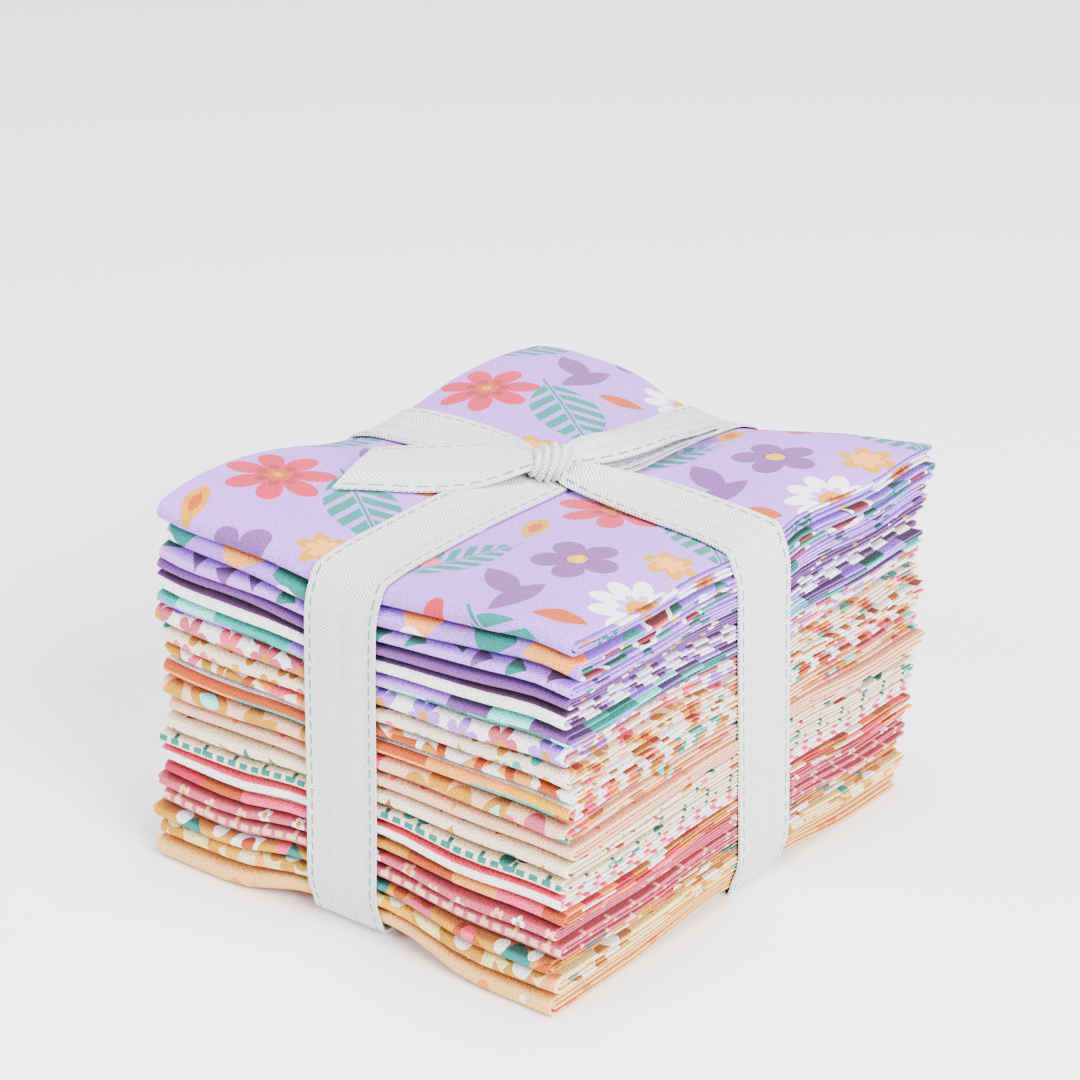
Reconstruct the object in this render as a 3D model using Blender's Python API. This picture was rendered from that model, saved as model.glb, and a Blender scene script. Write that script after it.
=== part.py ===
"""A stack of twenty-one folded fat quarters, tied crosswise with one ribbon and a one-loop bow.

X runs along the side that shows the wide folds, Y along the side that shows the layers, and Z is up.
The origin is at the middle of the stack, on the surface that it stands on. Sizes are in metres.
"""

import math
from collections import namedtuple

import bmesh
import bpy
from mathutils import Vector

MM = 0.001

# One fat quarter is 18 in by 21.5 in, folded to a quarter of its size each way. The turns take up a little.
CLOTH_WIDTH = 457 * MM
CLOTH_LENGTH = 546 * MM
PASSES = 4
WIDTH_TAKE_UP = 3.0 * MM
LENGTH_TAKE_UP = 0.4 * MM
HALF_WIDTH = (CLOTH_WIDTH - WIDTH_TAKE_UP) / PASSES / 2
HALF_DEPTH = (CLOTH_LENGTH - LENGTH_TAKE_UP) / PASSES / 2

# The gaps between the passes of one cloth and between one piece and the next.
PASS_GAP = 0.15 * MM
PIECE_GAP = 0.3 * MM

# How far a fold's rounded edge reaches, and how far the two free ends stop short at the back.
FRONT_FOLD_REACH = 1.8 * MM
BACK_FOLD_REACH = 1.0 * MM
LOWER_END_SHORT = 0.5 * MM
INNER_END_SHORT = 1.4 * MM
FOLD_SQUARENESS = 0.8
WIDE_FOLD_POINTS = 4
SMALL_FOLD_POINTS = 2

# The ribbon: the long band runs front to back under the knot, the cross band runs side to side.
RIBBON_WIDTH = 19.5 * MM
RIBBON_THICK = 1.0 * MM
RIBBON_BEND = 1.2 * MM
SIDE_GAP = 0.6 * MM
LONG_BAND_X = -2.6 * MM

# The cross band's place along Y where it meets each lower and upper edge of the stack.
Leaning = namedtuple("Leaning", "low_left high_left low_right high_right")
CROSS_BAND_Y = Leaning(6.5 * MM, 5.0 * MM, 7.4 * MM, 1.8 * MM)

# How the tied stack settles: its edges and corners sink, and the ribbon presses a channel.
EDGE_DROP = 1.5 * MM
CORNER_DROP = 1.0 * MM
TOP_PRESS = 3.6 * MM
EDGE_PINCH = 2.5 * MM
LONG_BAND_ROOM = 2.8 * MM
CROSS_BAND_ROOM = 1.4 * MM
EDGE_LIFT = 1.0 * MM
SETTLE_POWER = 1.3

# Lines across the stack where its surface bends: side, crest, ribbon, ribbon, crest, side.
Lines = namedtuple("Lines", "side_low crest_low tie_low tie_high crest_high side_high")
X_LINES = Lines(-HALF_WIDTH, -37 * MM, -13.5 * MM, 8.3 * MM, 35 * MM, HALF_WIDTH)
Y_LINES = Lines(-HALF_DEPTH, -44 * MM, -8.5 * MM, 17.8 * MM, 47 * MM, HALF_DEPTH)

# The cloths from the top of the stack down: thickness and sideways shift in millimetres.
Quarter = namedtuple("Quarter", "thick shift_x shift_y colour")
LILAC = (0.62, 0.55, 0.80)
MAUVE = (0.55, 0.38, 0.70)
PLUM = (0.32, 0.10, 0.30)
CREAM = (0.87, 0.82, 0.78)
BLUSH = (0.88, 0.72, 0.66)
ORANGE = (0.90, 0.27, 0.04)
ROSE = (0.85, 0.33, 0.42)
GOLD = (0.92, 0.55, 0.10)
SAND = (0.80, 0.66, 0.54)
QUARTERS = (
    Quarter(4.6, 1.2, 0.6, LILAC),
    Quarter(5.0, 2.0, 1.0, LILAC),
    Quarter(3.4, 1.0, 0.2, LILAC),
    Quarter(3.2, 0.2, 0.8, MAUVE),
    Quarter(4.3, -0.7, 0.0, PLUM),
    Quarter(3.5, 0.5, 0.6, LILAC),
    Quarter(4.7, -0.8, -0.4, CREAM),
    Quarter(4.3, 0.2, 0.2, CREAM),
    Quarter(3.3, 1.4, 1.2, CREAM),
    Quarter(4.2, 0.5, 0.4, ORANGE),
    Quarter(4.4, 0.6, 0.2, BLUSH),
    Quarter(3.9, 2.0, 0.8, BLUSH),
    Quarter(4.3, 1.0, 0.0, CREAM),
    Quarter(3.9, 0.5, -0.2, CREAM),
    Quarter(3.8, -0.5, -0.8, CREAM),
    Quarter(3.5, 0.3, 0.4, BLUSH),
    Quarter(3.3, -1.0, -0.6, ROSE),
    Quarter(4.0, -0.5, 0.0, ROSE),
    Quarter(3.4, -2.0, -1.2, GOLD),
    Quarter(4.7, -1.0, -0.4, SAND),
    Quarter(5.2, -2.0, -1.0, SAND),
)
STACK_HEIGHT = sum(q.thick for q in QUARTERS) * MM + (len(QUARTERS) - 1) * PIECE_GAP

# The knot, and the loop and tail that leave it. Heights are above the pressed top.
KNOT_CENTRE = Vector((1.4, 2.4, 0)) * MM
KNOT_AXIS = Vector((0.793, 0.609, 0)).normalized()
KNOT_HALF_LENGTH = 7.0 * MM
KNOT_HALF_WIDTH = 5.6 * MM
KNOT_HALF_HEIGHT = 3.7 * MM
KNOT_RIDGES = 3
KNOT_RIDGE_SHARE = 0.07
KNOT_RINGS = 10
KNOT_RING_POINTS = 12
TIE_COLOUR = (0.86, 0.87, 0.87)


def clear_scene():
    for obj in list(bpy.data.objects):
        bpy.data.objects.remove(obj)


def cloth_material(name, colour, roughness):
    material = bpy.data.materials.new(name)
    material.use_nodes = True
    shader = material.node_tree.nodes["Principled BSDF"]
    shader.inputs["Base Color"].default_value = (*colour, 1.0)
    shader.inputs["Roughness"].default_value = roughness
    shader.inputs["Metallic"].default_value = 0.0
    return material


def share(value, start, end):
    """0 at start and 1 at end, straight between them and on past the end."""
    return max(0.0, (value - start) / (end - start))


def tied(value, lines):
    """1 where the ribbon lies, 0 from the crest outwards."""
    below = share(value, lines.crest_low, lines.tie_low)
    above = share(value, lines.crest_high, lines.tie_high)
    return min(1.0, below, above)


def at_edge(value, lines):
    """1 at the stack's side, 0 from the crest inwards."""
    below = share(value, lines.crest_low, lines.side_low)
    above = share(value, lines.crest_high, lines.side_high)
    return max(below, above)


def settled(x, y, height):
    """The height that a point of the untied stack has once the stack is tied."""
    tied_x, tied_y = tied(x, X_LINES), tied(y, Y_LINES)
    edge_x, edge_y = at_edge(x, X_LINES), at_edge(y, Y_LINES)
    pinched = tied_x * edge_y + tied_y * edge_x
    lift = max(LONG_BAND_ROOM * tied_x, CROSS_BAND_ROOM * tied_y) + EDGE_LIFT * pinched
    drop = EDGE_DROP * (edge_x + edge_y) + CORNER_DROP * edge_x * edge_y
    drop += TOP_PRESS * max(tied_x, tied_y) + EDGE_PINCH * pinched
    up = min(1.0, max(0.0, height / STACK_HEIGHT))
    return height + lift * (1 - up) ** SETTLE_POWER - drop * up**SETTLE_POWER


def run(y_from, y_to, height):
    """A straight stretch of the section, with a point at each line that it crosses."""
    low, high = min(y_from, y_to), max(y_from, y_to)
    between = [y for y in Y_LINES if low + MM < y < high - MM]
    if y_to < y_from:
        between.reverse()
    return [(y, height) for y in (y_from, *between, y_to)]


def fold(y_start, y_tip, from_height, to_height, count):
    """The points of one side of a rounded fold edge, between its two straight stretches."""
    middle, half = (from_height + to_height) / 2, (to_height - from_height) / 2
    points = []
    for step in range(1, count + 1):
        angle = math.pi * step / (count + 1)
        along = math.copysign(abs(math.cos(angle)) ** FOLD_SQUARENESS, math.cos(angle))
        out = math.sin(angle) ** FOLD_SQUARENESS
        points.append((y_start + (y_tip - y_start) * out, middle - half * along))
    return points


def folded_section(thick):
    """The two sides, as lists of (y, height), of a strip folded in half and in half again.

    The strip starts at the free end of the lowest pass, goes round the wide fold at the front to the top
    pass, round the back fold to the third pass, and round the small front fold to the second pass.
    """
    layer = (thick - (PASSES - 1) * PASS_GAP) / PASSES
    step = layer + PASS_GAP
    front = -HALF_DEPTH + FRONT_FOLD_REACH
    back = HALF_DEPTH - BACK_FOLD_REACH
    small_tip = -HALF_DEPTH + layer + 2 * PASS_GAP
    small_front = small_tip + FRONT_FOLD_REACH - layer
    lower_end = HALF_DEPTH - LOWER_END_SHORT
    inner_end = HALF_DEPTH - INNER_END_SHORT
    wide, small = WIDE_FOLD_POINTS, SMALL_FOLD_POINTS
    outside = run(lower_end, front, 0) + fold(front, -HALF_DEPTH, 0, thick, wide)
    outside += run(front, back, thick) + fold(back, HALF_DEPTH, thick, 2 * step, small)
    outside += run(back, small_front, 2 * step)
    outside += fold(small_front, small_tip + layer, 2 * step, step + layer, small)
    outside += run(small_front, inner_end, step + layer)
    inside = run(lower_end, front, layer)
    inside += fold(front, -HALF_DEPTH + layer, layer, thick - layer, wide)
    inside += run(front, back, 3 * step)
    inside += fold(back, HALF_DEPTH - layer, 3 * step, 2 * step + layer, small)
    inside += run(back, small_front, 2 * step + layer)
    inside += fold(small_front, small_tip, 2 * step + layer, step, small)
    inside += run(small_front, inner_end, step)
    return outside, inside


def add_object(name, mesh_data, material):
    bmesh.ops.recalc_face_normals(mesh_data, faces=mesh_data.faces)
    mesh = bpy.data.meshes.new(name)
    mesh_data.to_mesh(mesh)
    mesh_data.free()
    mesh.materials.append(material)
    obj = bpy.data.objects.new(name, mesh)
    bpy.context.scene.collection.objects.link(obj)
    return obj


def add_strip(mesh_data, first, second, closed):
    """Joins two rows of vertices with triangles whose cut runs out from the stack's middle in every quadrant,
    so that surfaces that face each other are cut alike."""
    count = len(first)
    for index in range(count if closed else count - 1):
        following = (index + 1) % count
        corners = first[index], first[following], second[following], second[index]
        middle = sum((corner.co for corner in corners), Vector()) / len(corners)
        rising = first[following].co.y > first[index].co.y
        if rising == (middle.x * middle.y > 0):
            mesh_data.faces.new((corners[0], corners[1], corners[2]))
            mesh_data.faces.new((corners[0], corners[2], corners[3]))
        else:
            mesh_data.faces.new((corners[0], corners[1], corners[3]))
            mesh_data.faces.new((corners[1], corners[2], corners[3]))


def folded_quarter(number, quarter, base, material):
    """One folded cloth: its section run from side to side, settled with the stack. Its origin is at its base."""
    outside, inside = folded_section(quarter.thick * MM)
    mesh_data = bmesh.new()
    rows = []
    for x in X_LINES:
        row = []
        for y, height in outside + inside[::-1]:
            free_x, free_y = 1 - tied(y, Y_LINES), 1 - tied(x, X_LINES)
            shifted_x = x + quarter.shift_x * MM * at_edge(x, X_LINES) * free_x
            shifted_y = y + quarter.shift_y * MM * at_edge(y, Y_LINES) * free_y
            above_base = settled(shifted_x, shifted_y, base + height) - base
            row.append(mesh_data.verts.new((shifted_x, shifted_y, above_base)))
        rows.append(row)
    for first, second in zip(rows, rows[1:]):
        add_strip(mesh_data, first, second, closed=True)
    for row in (rows[0], rows[-1]):
        add_strip(mesh_data, row[: len(outside)], row[len(outside) :][::-1], closed=False)
    cloth = add_object(f"fat_quarter_{number:02d}", mesh_data, material)
    cloth.location.z = base
    return cloth


Station = namedtuple("Station", "centre across width thick")


def band(name, stations, closed, material):
    """A flat ribbon: a rectangle of each station's width and thickness, run through the stations."""
    mesh_data = bmesh.new()
    rings = []
    count = len(stations)
    for index, station in enumerate(stations):
        before = stations[(index - 1) % count] if closed or index else station
        after = stations[(index + 1) % count] if closed or index < count - 1 else station
        forward = (after.centre - before.centre).normalized()
        across = (station.across - forward * station.across.dot(forward)).normalized()
        if index in (0, count - 1) and not closed:
            across = station.across.normalized()
        normal = forward.cross(across).normalized()
        side = across * station.width / 2
        rise = normal * station.thick / 2
        corners = (side + rise, side - rise, -side - rise, -side + rise)
        rings.append([mesh_data.verts.new(station.centre + corner) for corner in corners])
    pairs = list(zip(rings, rings[1:]))
    if closed:
        pairs.append((rings[-1], rings[0]))
    else:
        mesh_data.faces.new(rings[0])
        mesh_data.faces.new(rings[-1])
    for first, second in pairs:
        for corner in range(4):
            following = (corner + 1) % 4
            mesh_data.faces.new((first[corner], first[following], second[following], second[corner]))
    bmesh.ops.triangulate(mesh_data, faces=mesh_data.faces)
    return add_object(name, mesh_data, material)


def bend(centre_along, centre_up, start_degrees, end_degrees, steps=3):
    """Points of a quarter turn round the stack's edge."""
    points = []
    for step in range(steps + 1):
        angle = math.radians(start_degrees + (end_degrees - start_degrees) * step / steps)
        points.append(
            (centre_along + RIBBON_BEND * math.cos(angle), centre_up + RIBBON_BEND * math.sin(angle))
        )
    return points


def above_top(x, y, gap=PIECE_GAP):
    """The height of a ribbon's middle when it lies on the tied stack's top."""
    return settled(x, y, STACK_HEIGHT) + gap + RIBBON_THICK / 2


def long_band(material):
    """The closed band that runs front to back and passes flat under the knot."""
    side = HALF_DEPTH + SIDE_GAP + RIBBON_THICK / 2
    turn_at = side - RIBBON_BEND
    top_turn = above_top(LONG_BAND_X, turn_at) - RIBBON_BEND
    under = LONG_BAND_ROOM - PIECE_GAP - RIBBON_THICK / 2
    inner_lines = Y_LINES[1:-1]
    path = [(y, above_top(LONG_BAND_X, y)) for y in inner_lines]
    path += bend(turn_at, top_turn, 90, 0)
    path += bend(turn_at, under + RIBBON_BEND, 0, -90)
    path += [(y, under) for y in reversed(inner_lines)]
    path += bend(-turn_at, under + RIBBON_BEND, -90, -180)
    path += bend(-turn_at, top_turn, 180, 90)
    across = Vector((1, 0, 0))
    stations = [
        Station(Vector((LONG_BAND_X, y, z)), across, RIBBON_WIDTH, RIBBON_THICK) for y, z in path
    ]
    return band("ribbon_long_band", stations, True, material)


# Where the cross band's two arms gather towards the knot: distance from the knot's middle, height
# above the pressed top, width and thickness in millimetres.
Gather = namedtuple("Gather", "out rise width thick")
ARM_GATHERS = (
    Gather(7.4, 3.7, 7.0, 2.4),
    Gather(10.5, 2.9, 9.5, 1.8),
    Gather(15.5, 2.1, 13.5, 1.3),
    Gather(23.0, 1.3, 18.0, 1.0),
)


def cross_y(x, z):
    """The cross band's middle at a place on the stack's outline."""
    up, right = z / STACK_HEIGHT, (x / HALF_WIDTH + 1) / 2
    left_y = CROSS_BAND_Y.low_left + (CROSS_BAND_Y.high_left - CROSS_BAND_Y.low_left) * up
    right_y = CROSS_BAND_Y.low_right + (CROSS_BAND_Y.high_right - CROSS_BAND_Y.low_right) * up
    return left_y + (right_y - left_y) * right


def cross_arm(direction):
    """The stations of one arm on top of the stack, from the knot outwards."""
    stations = []
    across = Vector((0, direction, 0))
    for gather in ARM_GATHERS:
        x = KNOT_CENTRE.x + direction * gather.out * MM
        y = cross_y(x, STACK_HEIGHT)
        centre = Vector((x, y, settled(x, y, STACK_HEIGHT) + gather.rise * MM))
        stations.append(Station(centre, across, gather.width * MM, gather.thick * MM))
    crest = X_LINES.crest_high if direction > 0 else X_LINES.crest_low
    y = cross_y(crest, STACK_HEIGHT)
    centre = Vector((crest, y, above_top(crest, y)))
    stations.append(Station(centre, across, RIBBON_WIDTH, RIBBON_THICK))
    return stations


def cross_band(material):
    """The band that leaves the knot, runs down one side, under the stack and up the other side."""
    side = HALF_WIDTH + SIDE_GAP + RIBBON_THICK / 2
    turn_at = side - RIBBON_BEND
    top_turn = above_top(turn_at, CROSS_BAND_Y.high_left) - RIBBON_BEND
    under = RIBBON_THICK / 2
    path = bend(turn_at, top_turn, 90, 0)
    path += bend(turn_at, under + RIBBON_BEND, 0, -90)
    path += bend(-turn_at, under + RIBBON_BEND, -90, -180)
    path += bend(-turn_at, top_turn, 180, 90)
    across = Vector((0, 1, 0))
    round_stack = [
        Station(Vector((x, cross_y(x, z), z)), across, RIBBON_WIDTH, RIBBON_THICK) for x, z in path
    ]
    far_arm = [station._replace(across=across) for station in reversed(cross_arm(-1))]
    return band("ribbon_cross_band", cross_arm(1) + round_stack + far_arm, False, material)


# The bow's loop and tail from the knot outwards: distance along, height of the middle above the
# pressed top, width, turn of the crosswise direction in degrees, in millimetres.
Reach = namedtuple("Reach", "along rise width turn")
LOOP_START = Vector((4.0, 9.0, 0)) * MM
LOOP_DIRECTION = Vector((0.2, 0.98, 0)).normalized()
LOOP_LOWER = (
    Reach(0.0, 3.4, 8.0, 0),
    Reach(5.0, 2.6, 12.0, 0),
    Reach(11.0, 2.1, 17.0, 4),
    Reach(20.0, 2.1, 19.5, 14),
    Reach(29.0, 2.1, 21.0, 30),
)
LOOP_UPPER = (
    Reach(31.0, 4.9, 21.0, 30),
    Reach(22.0, 5.5, 19.5, 14),
    Reach(13.0, 5.9, 17.0, 4),
    Reach(5.5, 5.9, 12.0, 0),
    Reach(0.6, 5.6, 8.0, 0),
)
LOOP_END_ALONG = 34.0 * MM
TAIL_START = Vector((-5.2, -2.4, 0)) * MM
TAIL_DIRECTION = Vector((-0.81, -0.587, 0)).normalized()
TAIL = (
    Reach(0.0, 5.6, 8.0, 0),
    Reach(5.0, 4.4, 12.0, 0),
    Reach(11.0, 3.0, 17.0, 0),
    Reach(19.0, 2.2, 19.5, 0),
    Reach(26.0, 1.9, 19.5, 8),
    Reach(35.0, 1.5, 22.0, 27),
)


def reach_station(start, direction, reach):
    """A station of the loop or tail, over the highest of the settled top below it."""
    centre = start + direction * reach.along * MM
    square = Vector((direction.y, -direction.x, 0))
    turn = math.radians(reach.turn)
    across = square * math.cos(turn) - direction * math.sin(turn)
    below = [centre + across * reach.width * MM * part for part in (-0.5, 0, 0.5)]
    centre.z = max(settled(place.x, place.y, STACK_HEIGHT) for place in below) + reach.rise * MM
    return Station(centre, across, reach.width * MM, RIBBON_THICK)


def bow_loop(material):
    """The loop that lies flat along the long band: out from the knot, round its end and back."""
    lower = [reach_station(LOOP_START, LOOP_DIRECTION, reach) for reach in LOOP_LOWER]
    upper = [reach_station(LOOP_START, LOOP_DIRECTION, reach) for reach in LOOP_UPPER]
    first, last = lower[-1], upper[0]
    tip_rise = (last.centre.z - first.centre.z) / 2
    tip = LOOP_START + LOOP_DIRECTION * LOOP_END_ALONG
    turn = []
    for share_round in (0.25, 0.5, 0.75):
        angle = math.pi * share_round
        inner = first.centre.lerp(last.centre, share_round)
        outer = Vector((tip.x, tip.y, 0))
        centre = inner.copy()
        centre.xy = inner.xy.lerp(outer.xy, math.sin(angle))
        centre.z = (first.centre.z + last.centre.z) / 2 - tip_rise * math.cos(angle)
        turn.append(Station(centre, first.across, first.width, RIBBON_THICK))
    return band("ribbon_bow_loop", lower + turn + upper, False, material)


def bow_tail(material):
    """The short tail, cut on the slant, that lies over the top cloth."""
    stations = [reach_station(TAIL_START, TAIL_DIRECTION, reach) for reach in TAIL]
    return band("ribbon_bow_tail", stations, False, material)


def knot(material):
    """The knot: a ridged lump of wraps, flat where it sits on the long band."""
    floor = above_top(LONG_BAND_X, 0) + RIBBON_THICK / 2 + PIECE_GAP
    centre = KNOT_CENTRE + Vector((0, 0, floor + KNOT_HALF_HEIGHT * 0.85))
    square = Vector((-KNOT_AXIS.y, KNOT_AXIS.x, 0))
    mesh_data = bmesh.new()
    rings = []
    for ring in range(1, KNOT_RINGS):
        along = -math.cos(math.pi * ring / KNOT_RINGS)
        size = math.sqrt(1 - along**2) * (1 + KNOT_RIDGE_SHARE * math.cos(KNOT_RIDGES * math.pi * along))
        row = []
        for point in range(KNOT_RING_POINTS):
            angle = math.tau * point / KNOT_RING_POINTS
            place = centre + KNOT_AXIS * KNOT_HALF_LENGTH * along
            place = place + square * KNOT_HALF_WIDTH * size * math.cos(angle)
            place.z = max(floor, place.z + KNOT_HALF_HEIGHT * size * math.sin(angle))
            row.append(mesh_data.verts.new(place))
        rings.append(row)
    for first, second in zip(rings, rings[1:]):
        add_strip(mesh_data, first, second, closed=True)
    for row, end in ((rings[0], -1), (rings[-1], 1)):
        pole = mesh_data.verts.new(centre + KNOT_AXIS * KNOT_HALF_LENGTH * end)
        for index, vertex in enumerate(row):
            mesh_data.faces.new((vertex, row[(index + 1) % len(row)], pole))
    return add_object("ribbon_knot", mesh_data, material)


def build():
    clear_scene()
    bpy.context.scene.unit_settings.scale_length = 1.0
    base = STACK_HEIGHT
    for number, quarter in enumerate(QUARTERS, start=1):
        base -= quarter.thick * MM
        material = cloth_material(f"cotton_{number:02d}", quarter.colour, 0.9)
        folded_quarter(number, quarter, base, material)
        base -= PIECE_GAP
    ribbon = cloth_material("ribbon", TIE_COLOUR, 0.7)
    long_band(ribbon)
    cross_band(ribbon)
    bow_loop(ribbon)
    bow_tail(ribbon)
    knot(ribbon)


build()
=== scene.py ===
"""The looks of a stack of folded, printed cottons tied crosswise with a twill ribbon.

It is laid out as a Blender add-on and run as a script. Every cloth is one flat rectangle, folded in four
each way by a function, and printed by shader nodes that follow the cloth round its folds. Shapes are worked
out in millimetres for the untied stack, then passed through one function that ties it.
"""

import math
from collections import namedtuple

import bpy
import numpy as np
from mathutils import Matrix, Vector


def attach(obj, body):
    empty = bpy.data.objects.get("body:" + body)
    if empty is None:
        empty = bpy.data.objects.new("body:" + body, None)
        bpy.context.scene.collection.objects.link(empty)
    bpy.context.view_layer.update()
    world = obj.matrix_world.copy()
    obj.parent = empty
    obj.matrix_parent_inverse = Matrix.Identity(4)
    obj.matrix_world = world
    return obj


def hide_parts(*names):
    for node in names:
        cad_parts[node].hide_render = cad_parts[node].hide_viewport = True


bl_info = {
    "name": "Tied Cloth Stack",
    "version": (1, 0, 0),
    "blender": (4, 5, 0),
    "location": "View3D > Sidebar > Cloth Stack",
    "description": "Builds a stack of folded printed cottons, tied with a twill ribbon",
    "category": "Add Mesh",
}

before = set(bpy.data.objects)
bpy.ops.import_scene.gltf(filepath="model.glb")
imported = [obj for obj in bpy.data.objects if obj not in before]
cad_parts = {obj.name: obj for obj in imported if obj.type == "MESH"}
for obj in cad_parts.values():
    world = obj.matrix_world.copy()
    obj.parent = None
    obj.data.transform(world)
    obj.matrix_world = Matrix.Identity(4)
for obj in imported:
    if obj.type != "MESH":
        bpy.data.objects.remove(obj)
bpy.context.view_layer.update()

MM = 0.001

# The folded cloths, in millimetres as every length down to the camera: half sizes in plan, the flat size and
# thickness of each, the gaps between cloths and between passes, and how much thinner a cloth is than its room.
HALF_WIDTH, HALF_DEPTH = 56.75, 68.2
FLAT_WIDTH, FLAT_LENGTH, COTTON_THICK = 457.0, 546.0, 0.14
PIECE_GAP, PASS_GAP, FOLD_SINK = 0.3, 0.12, 0.32
PASSES = 4
# How far the folds of the strip round off, and how far its free ends stay back from the stack's side.
FRONT_FOLD_REACH, BACK_FOLD_REACH, SMALL_FOLD_REACH = 2.3, 1.1, 0.9
LOWER_END_BACK, UPPER_END_BACK = 0.6, 1.5
# The same for the strip's own section: its far fold, its inner fold and that fold's tip, and its inner edge.
FAR_FOLD_REACH, INNER_FOLD_BACK, INNER_TIP_BACK, INNER_EDGE_BACK = 0.35, 0.25, 0.3, 0.9
# Painted shade where a fold turns in between the cloths: how steep the fold is there, how deep below the top it
# starts, and how dark the painted shade gets.
FOLD_SHADE_START, FOLD_SHADE_DEPTH, FOLD_SHADE_SCALE = 0.58, 0.8, 0.75
# How much of a cloth's shift stays where the cross band and the long band hold it, how much the wander of its
# edges differs from cloth to cloth, and how sharp an edge is still shaded smooth.
HELD_BY_CROSS, HELD_BY_LONG = 0.15, 0.1
WANDER_PHASE = 2.4
SMOOTH_ANGLE = math.radians(50)

# Where cloth is bent by the tie: side, crest, ribbon, ribbon, crest, side.
Lines = namedtuple("Lines", "side_low crest_low tie_low tie_high crest_high side_high")
X_LINES = Lines(-HALF_WIDTH, -37, -13.5, 8.3, 35, HALF_WIDTH)
Y_LINES = Lines(-HALF_DEPTH, -44, -8.5, 17.8, 47, HALF_DEPTH)
# Room for the bands under the stack and their lift at its edges; how the drop of the top fades down the stack
# and grows to its side; how far the lowest and highest cloths are pulled in, and over what height; the waves
# that all cloths share; and the pitch and reach of the table of the top's heights.
LONG_BAND_ROOM, CROSS_BAND_ROOM, EDGE_LIFT = 2.8, 1.4, 1.0
SETTLE_POWER, EDGE_POWER = 1.3, 1.4
SQUEEZE, SQUEEZE_REACH = 2.2, 10.0
WAVE, RIPPLE, EDGE_RIPPLE = 0.38, 0.22, 0.12
TABLE_PITCH, TABLE_REACH_X, TABLE_REACH_Y = 0.5, 60, 72

# Heights of the tied top, in millimetres, at stations across (columns) and back (rows).
TOP_X = (-56.75, -50, -37, -25, -13.5, -2.6, 8.3, 20, 35, 50, 56.75)
TOP_Y = (-68.2, -60, -46, -28, -8, 4.5, 17, 31, 46, 60, 68.2)
TOP_HEIGHTS = (
    (88.0, 86.7, 86.2, 85.9, 84.8, 84.0, 85.2, 86.4, 88.0, 89.3, 88.6),
    (89.7, 89.3, 88.7, 87.9, 86.1, 85.3, 86.2, 88.0, 89.3, 89.9, 88.3),
    (90.6, 90.4, 89.6, 88.6, 86.7, 86.0, 86.8, 88.8, 90.1, 90.0, 88.6),
    (88.9, 89.4, 89.2, 88.5, 87.2, 86.6, 87.2, 89.0, 90.0, 89.6, 88.2),
    (84.9, 86.4, 87.2, 87.3, 87.0, 86.8, 86.9, 87.4, 87.5, 87.0, 86.0),
    (84.1, 85.6, 86.4, 86.8, 87.0, 87.0, 87.0, 87.0, 86.8, 86.2, 85.3),
    (85.4, 86.7, 87.5, 87.6, 87.0, 86.6, 87.0, 87.8, 88.2, 88.1, 87.8),
    (87.4, 88.4, 89.0, 88.7, 86.9, 86.0, 86.6, 88.6, 89.8, 89.4, 88.4),
    (87.7, 88.6, 89.2, 88.4, 86.2, 85.0, 85.7, 88.0, 89.8, 89.9, 88.9),
    (87.1, 88.1, 88.4, 87.4, 84.9, 83.3, 83.7, 86.0, 88.5, 89.9, 90.0),
    (86.2, 87.4, 87.3, 86.4, 83.7, 81.5, 81.2, 83.4, 86.4, 88.6, 89.7),
)

# The cloths from the top down: thickness, sideways shifts and how the edge wanders, in millimetres.
Quarter = namedtuple("Quarter", "thick shift_x shift_y wander slot")
QUARTERS = (
    Quarter(4.6, 1.2, 0.6, 0.5, "cotton_01"),
    Quarter(5.0, 2.0, 1.0, 0.6, "cotton_02"),
    Quarter(3.4, 1.0, 0.2, 0.6, "cotton_03"),
    Quarter(3.2, 0.2, 0.8, 0.7, "cotton_04"),
    Quarter(4.3, -0.7, 0.0, 0.5, "cotton_05"),
    Quarter(3.5, 0.5, 0.6, 0.6, "cotton_06"),
    Quarter(4.7, -0.8, -0.4, 0.7, "cotton_07"),
    Quarter(4.3, 0.2, 0.2, 0.5, "cotton_08"),
    Quarter(3.3, 1.4, 1.2, 0.7, "cotton_09"),
    Quarter(4.2, 0.5, 0.4, 0.5, "cotton_10"),
    Quarter(4.4, 0.6, 0.2, 0.6, "cotton_11"),
    Quarter(3.9, 2.0, 0.8, 0.6, "cotton_12"),
    Quarter(4.3, 1.0, 0.0, 0.7, "cotton_13"),
    Quarter(3.9, 0.5, -0.2, 0.5, "cotton_14"),
    Quarter(3.8, -0.5, -0.8, 0.6, "cotton_15"),
    Quarter(3.5, 0.3, 0.4, 0.6, "cotton_16"),
    Quarter(3.3, -1.0, -0.6, 0.5, "cotton_17"),
    Quarter(4.0, -0.5, 0.0, 0.6, "cotton_18"),
    Quarter(3.4, -2.0, -1.2, 0.4, "cotton_19"),
    Quarter(4.7, -1.0, -0.4, 0.5, "cotton_20"),
    Quarter(5.2, -2.0, -1.0, 0.3, "cotton_21"),
)
STACK_HEIGHT = sum(q.thick for q in QUARTERS) + (len(QUARTERS) - 1) * PIECE_GAP

# Where the cloths have a row of points, as shares of the half size: close together where they bend.
X_SHARES = (-0.95, -0.88, -0.79, -0.68, -0.55, -0.43, -0.33, -0.24, -0.1, 0.05, 0.15, 0.25, 0.37, 0.5,
            0.63, 0.75, 0.85, 0.93, 0.972)
Y_SHARES = (-0.93, -0.87, -0.79, -0.69, -0.58, -0.46, -0.34, -0.23, -0.125, 0.0, 0.13, 0.26, 0.36, 0.47,
            0.58, 0.69, 0.79, 0.87, 0.94)

# The ribbon, and the length of ribbon that its UV map stands for.
RIBBON_WIDTH, RIBBON_THICK, RIBBON_UV_LENGTH = 19.5, 0.5, 600.0
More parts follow.
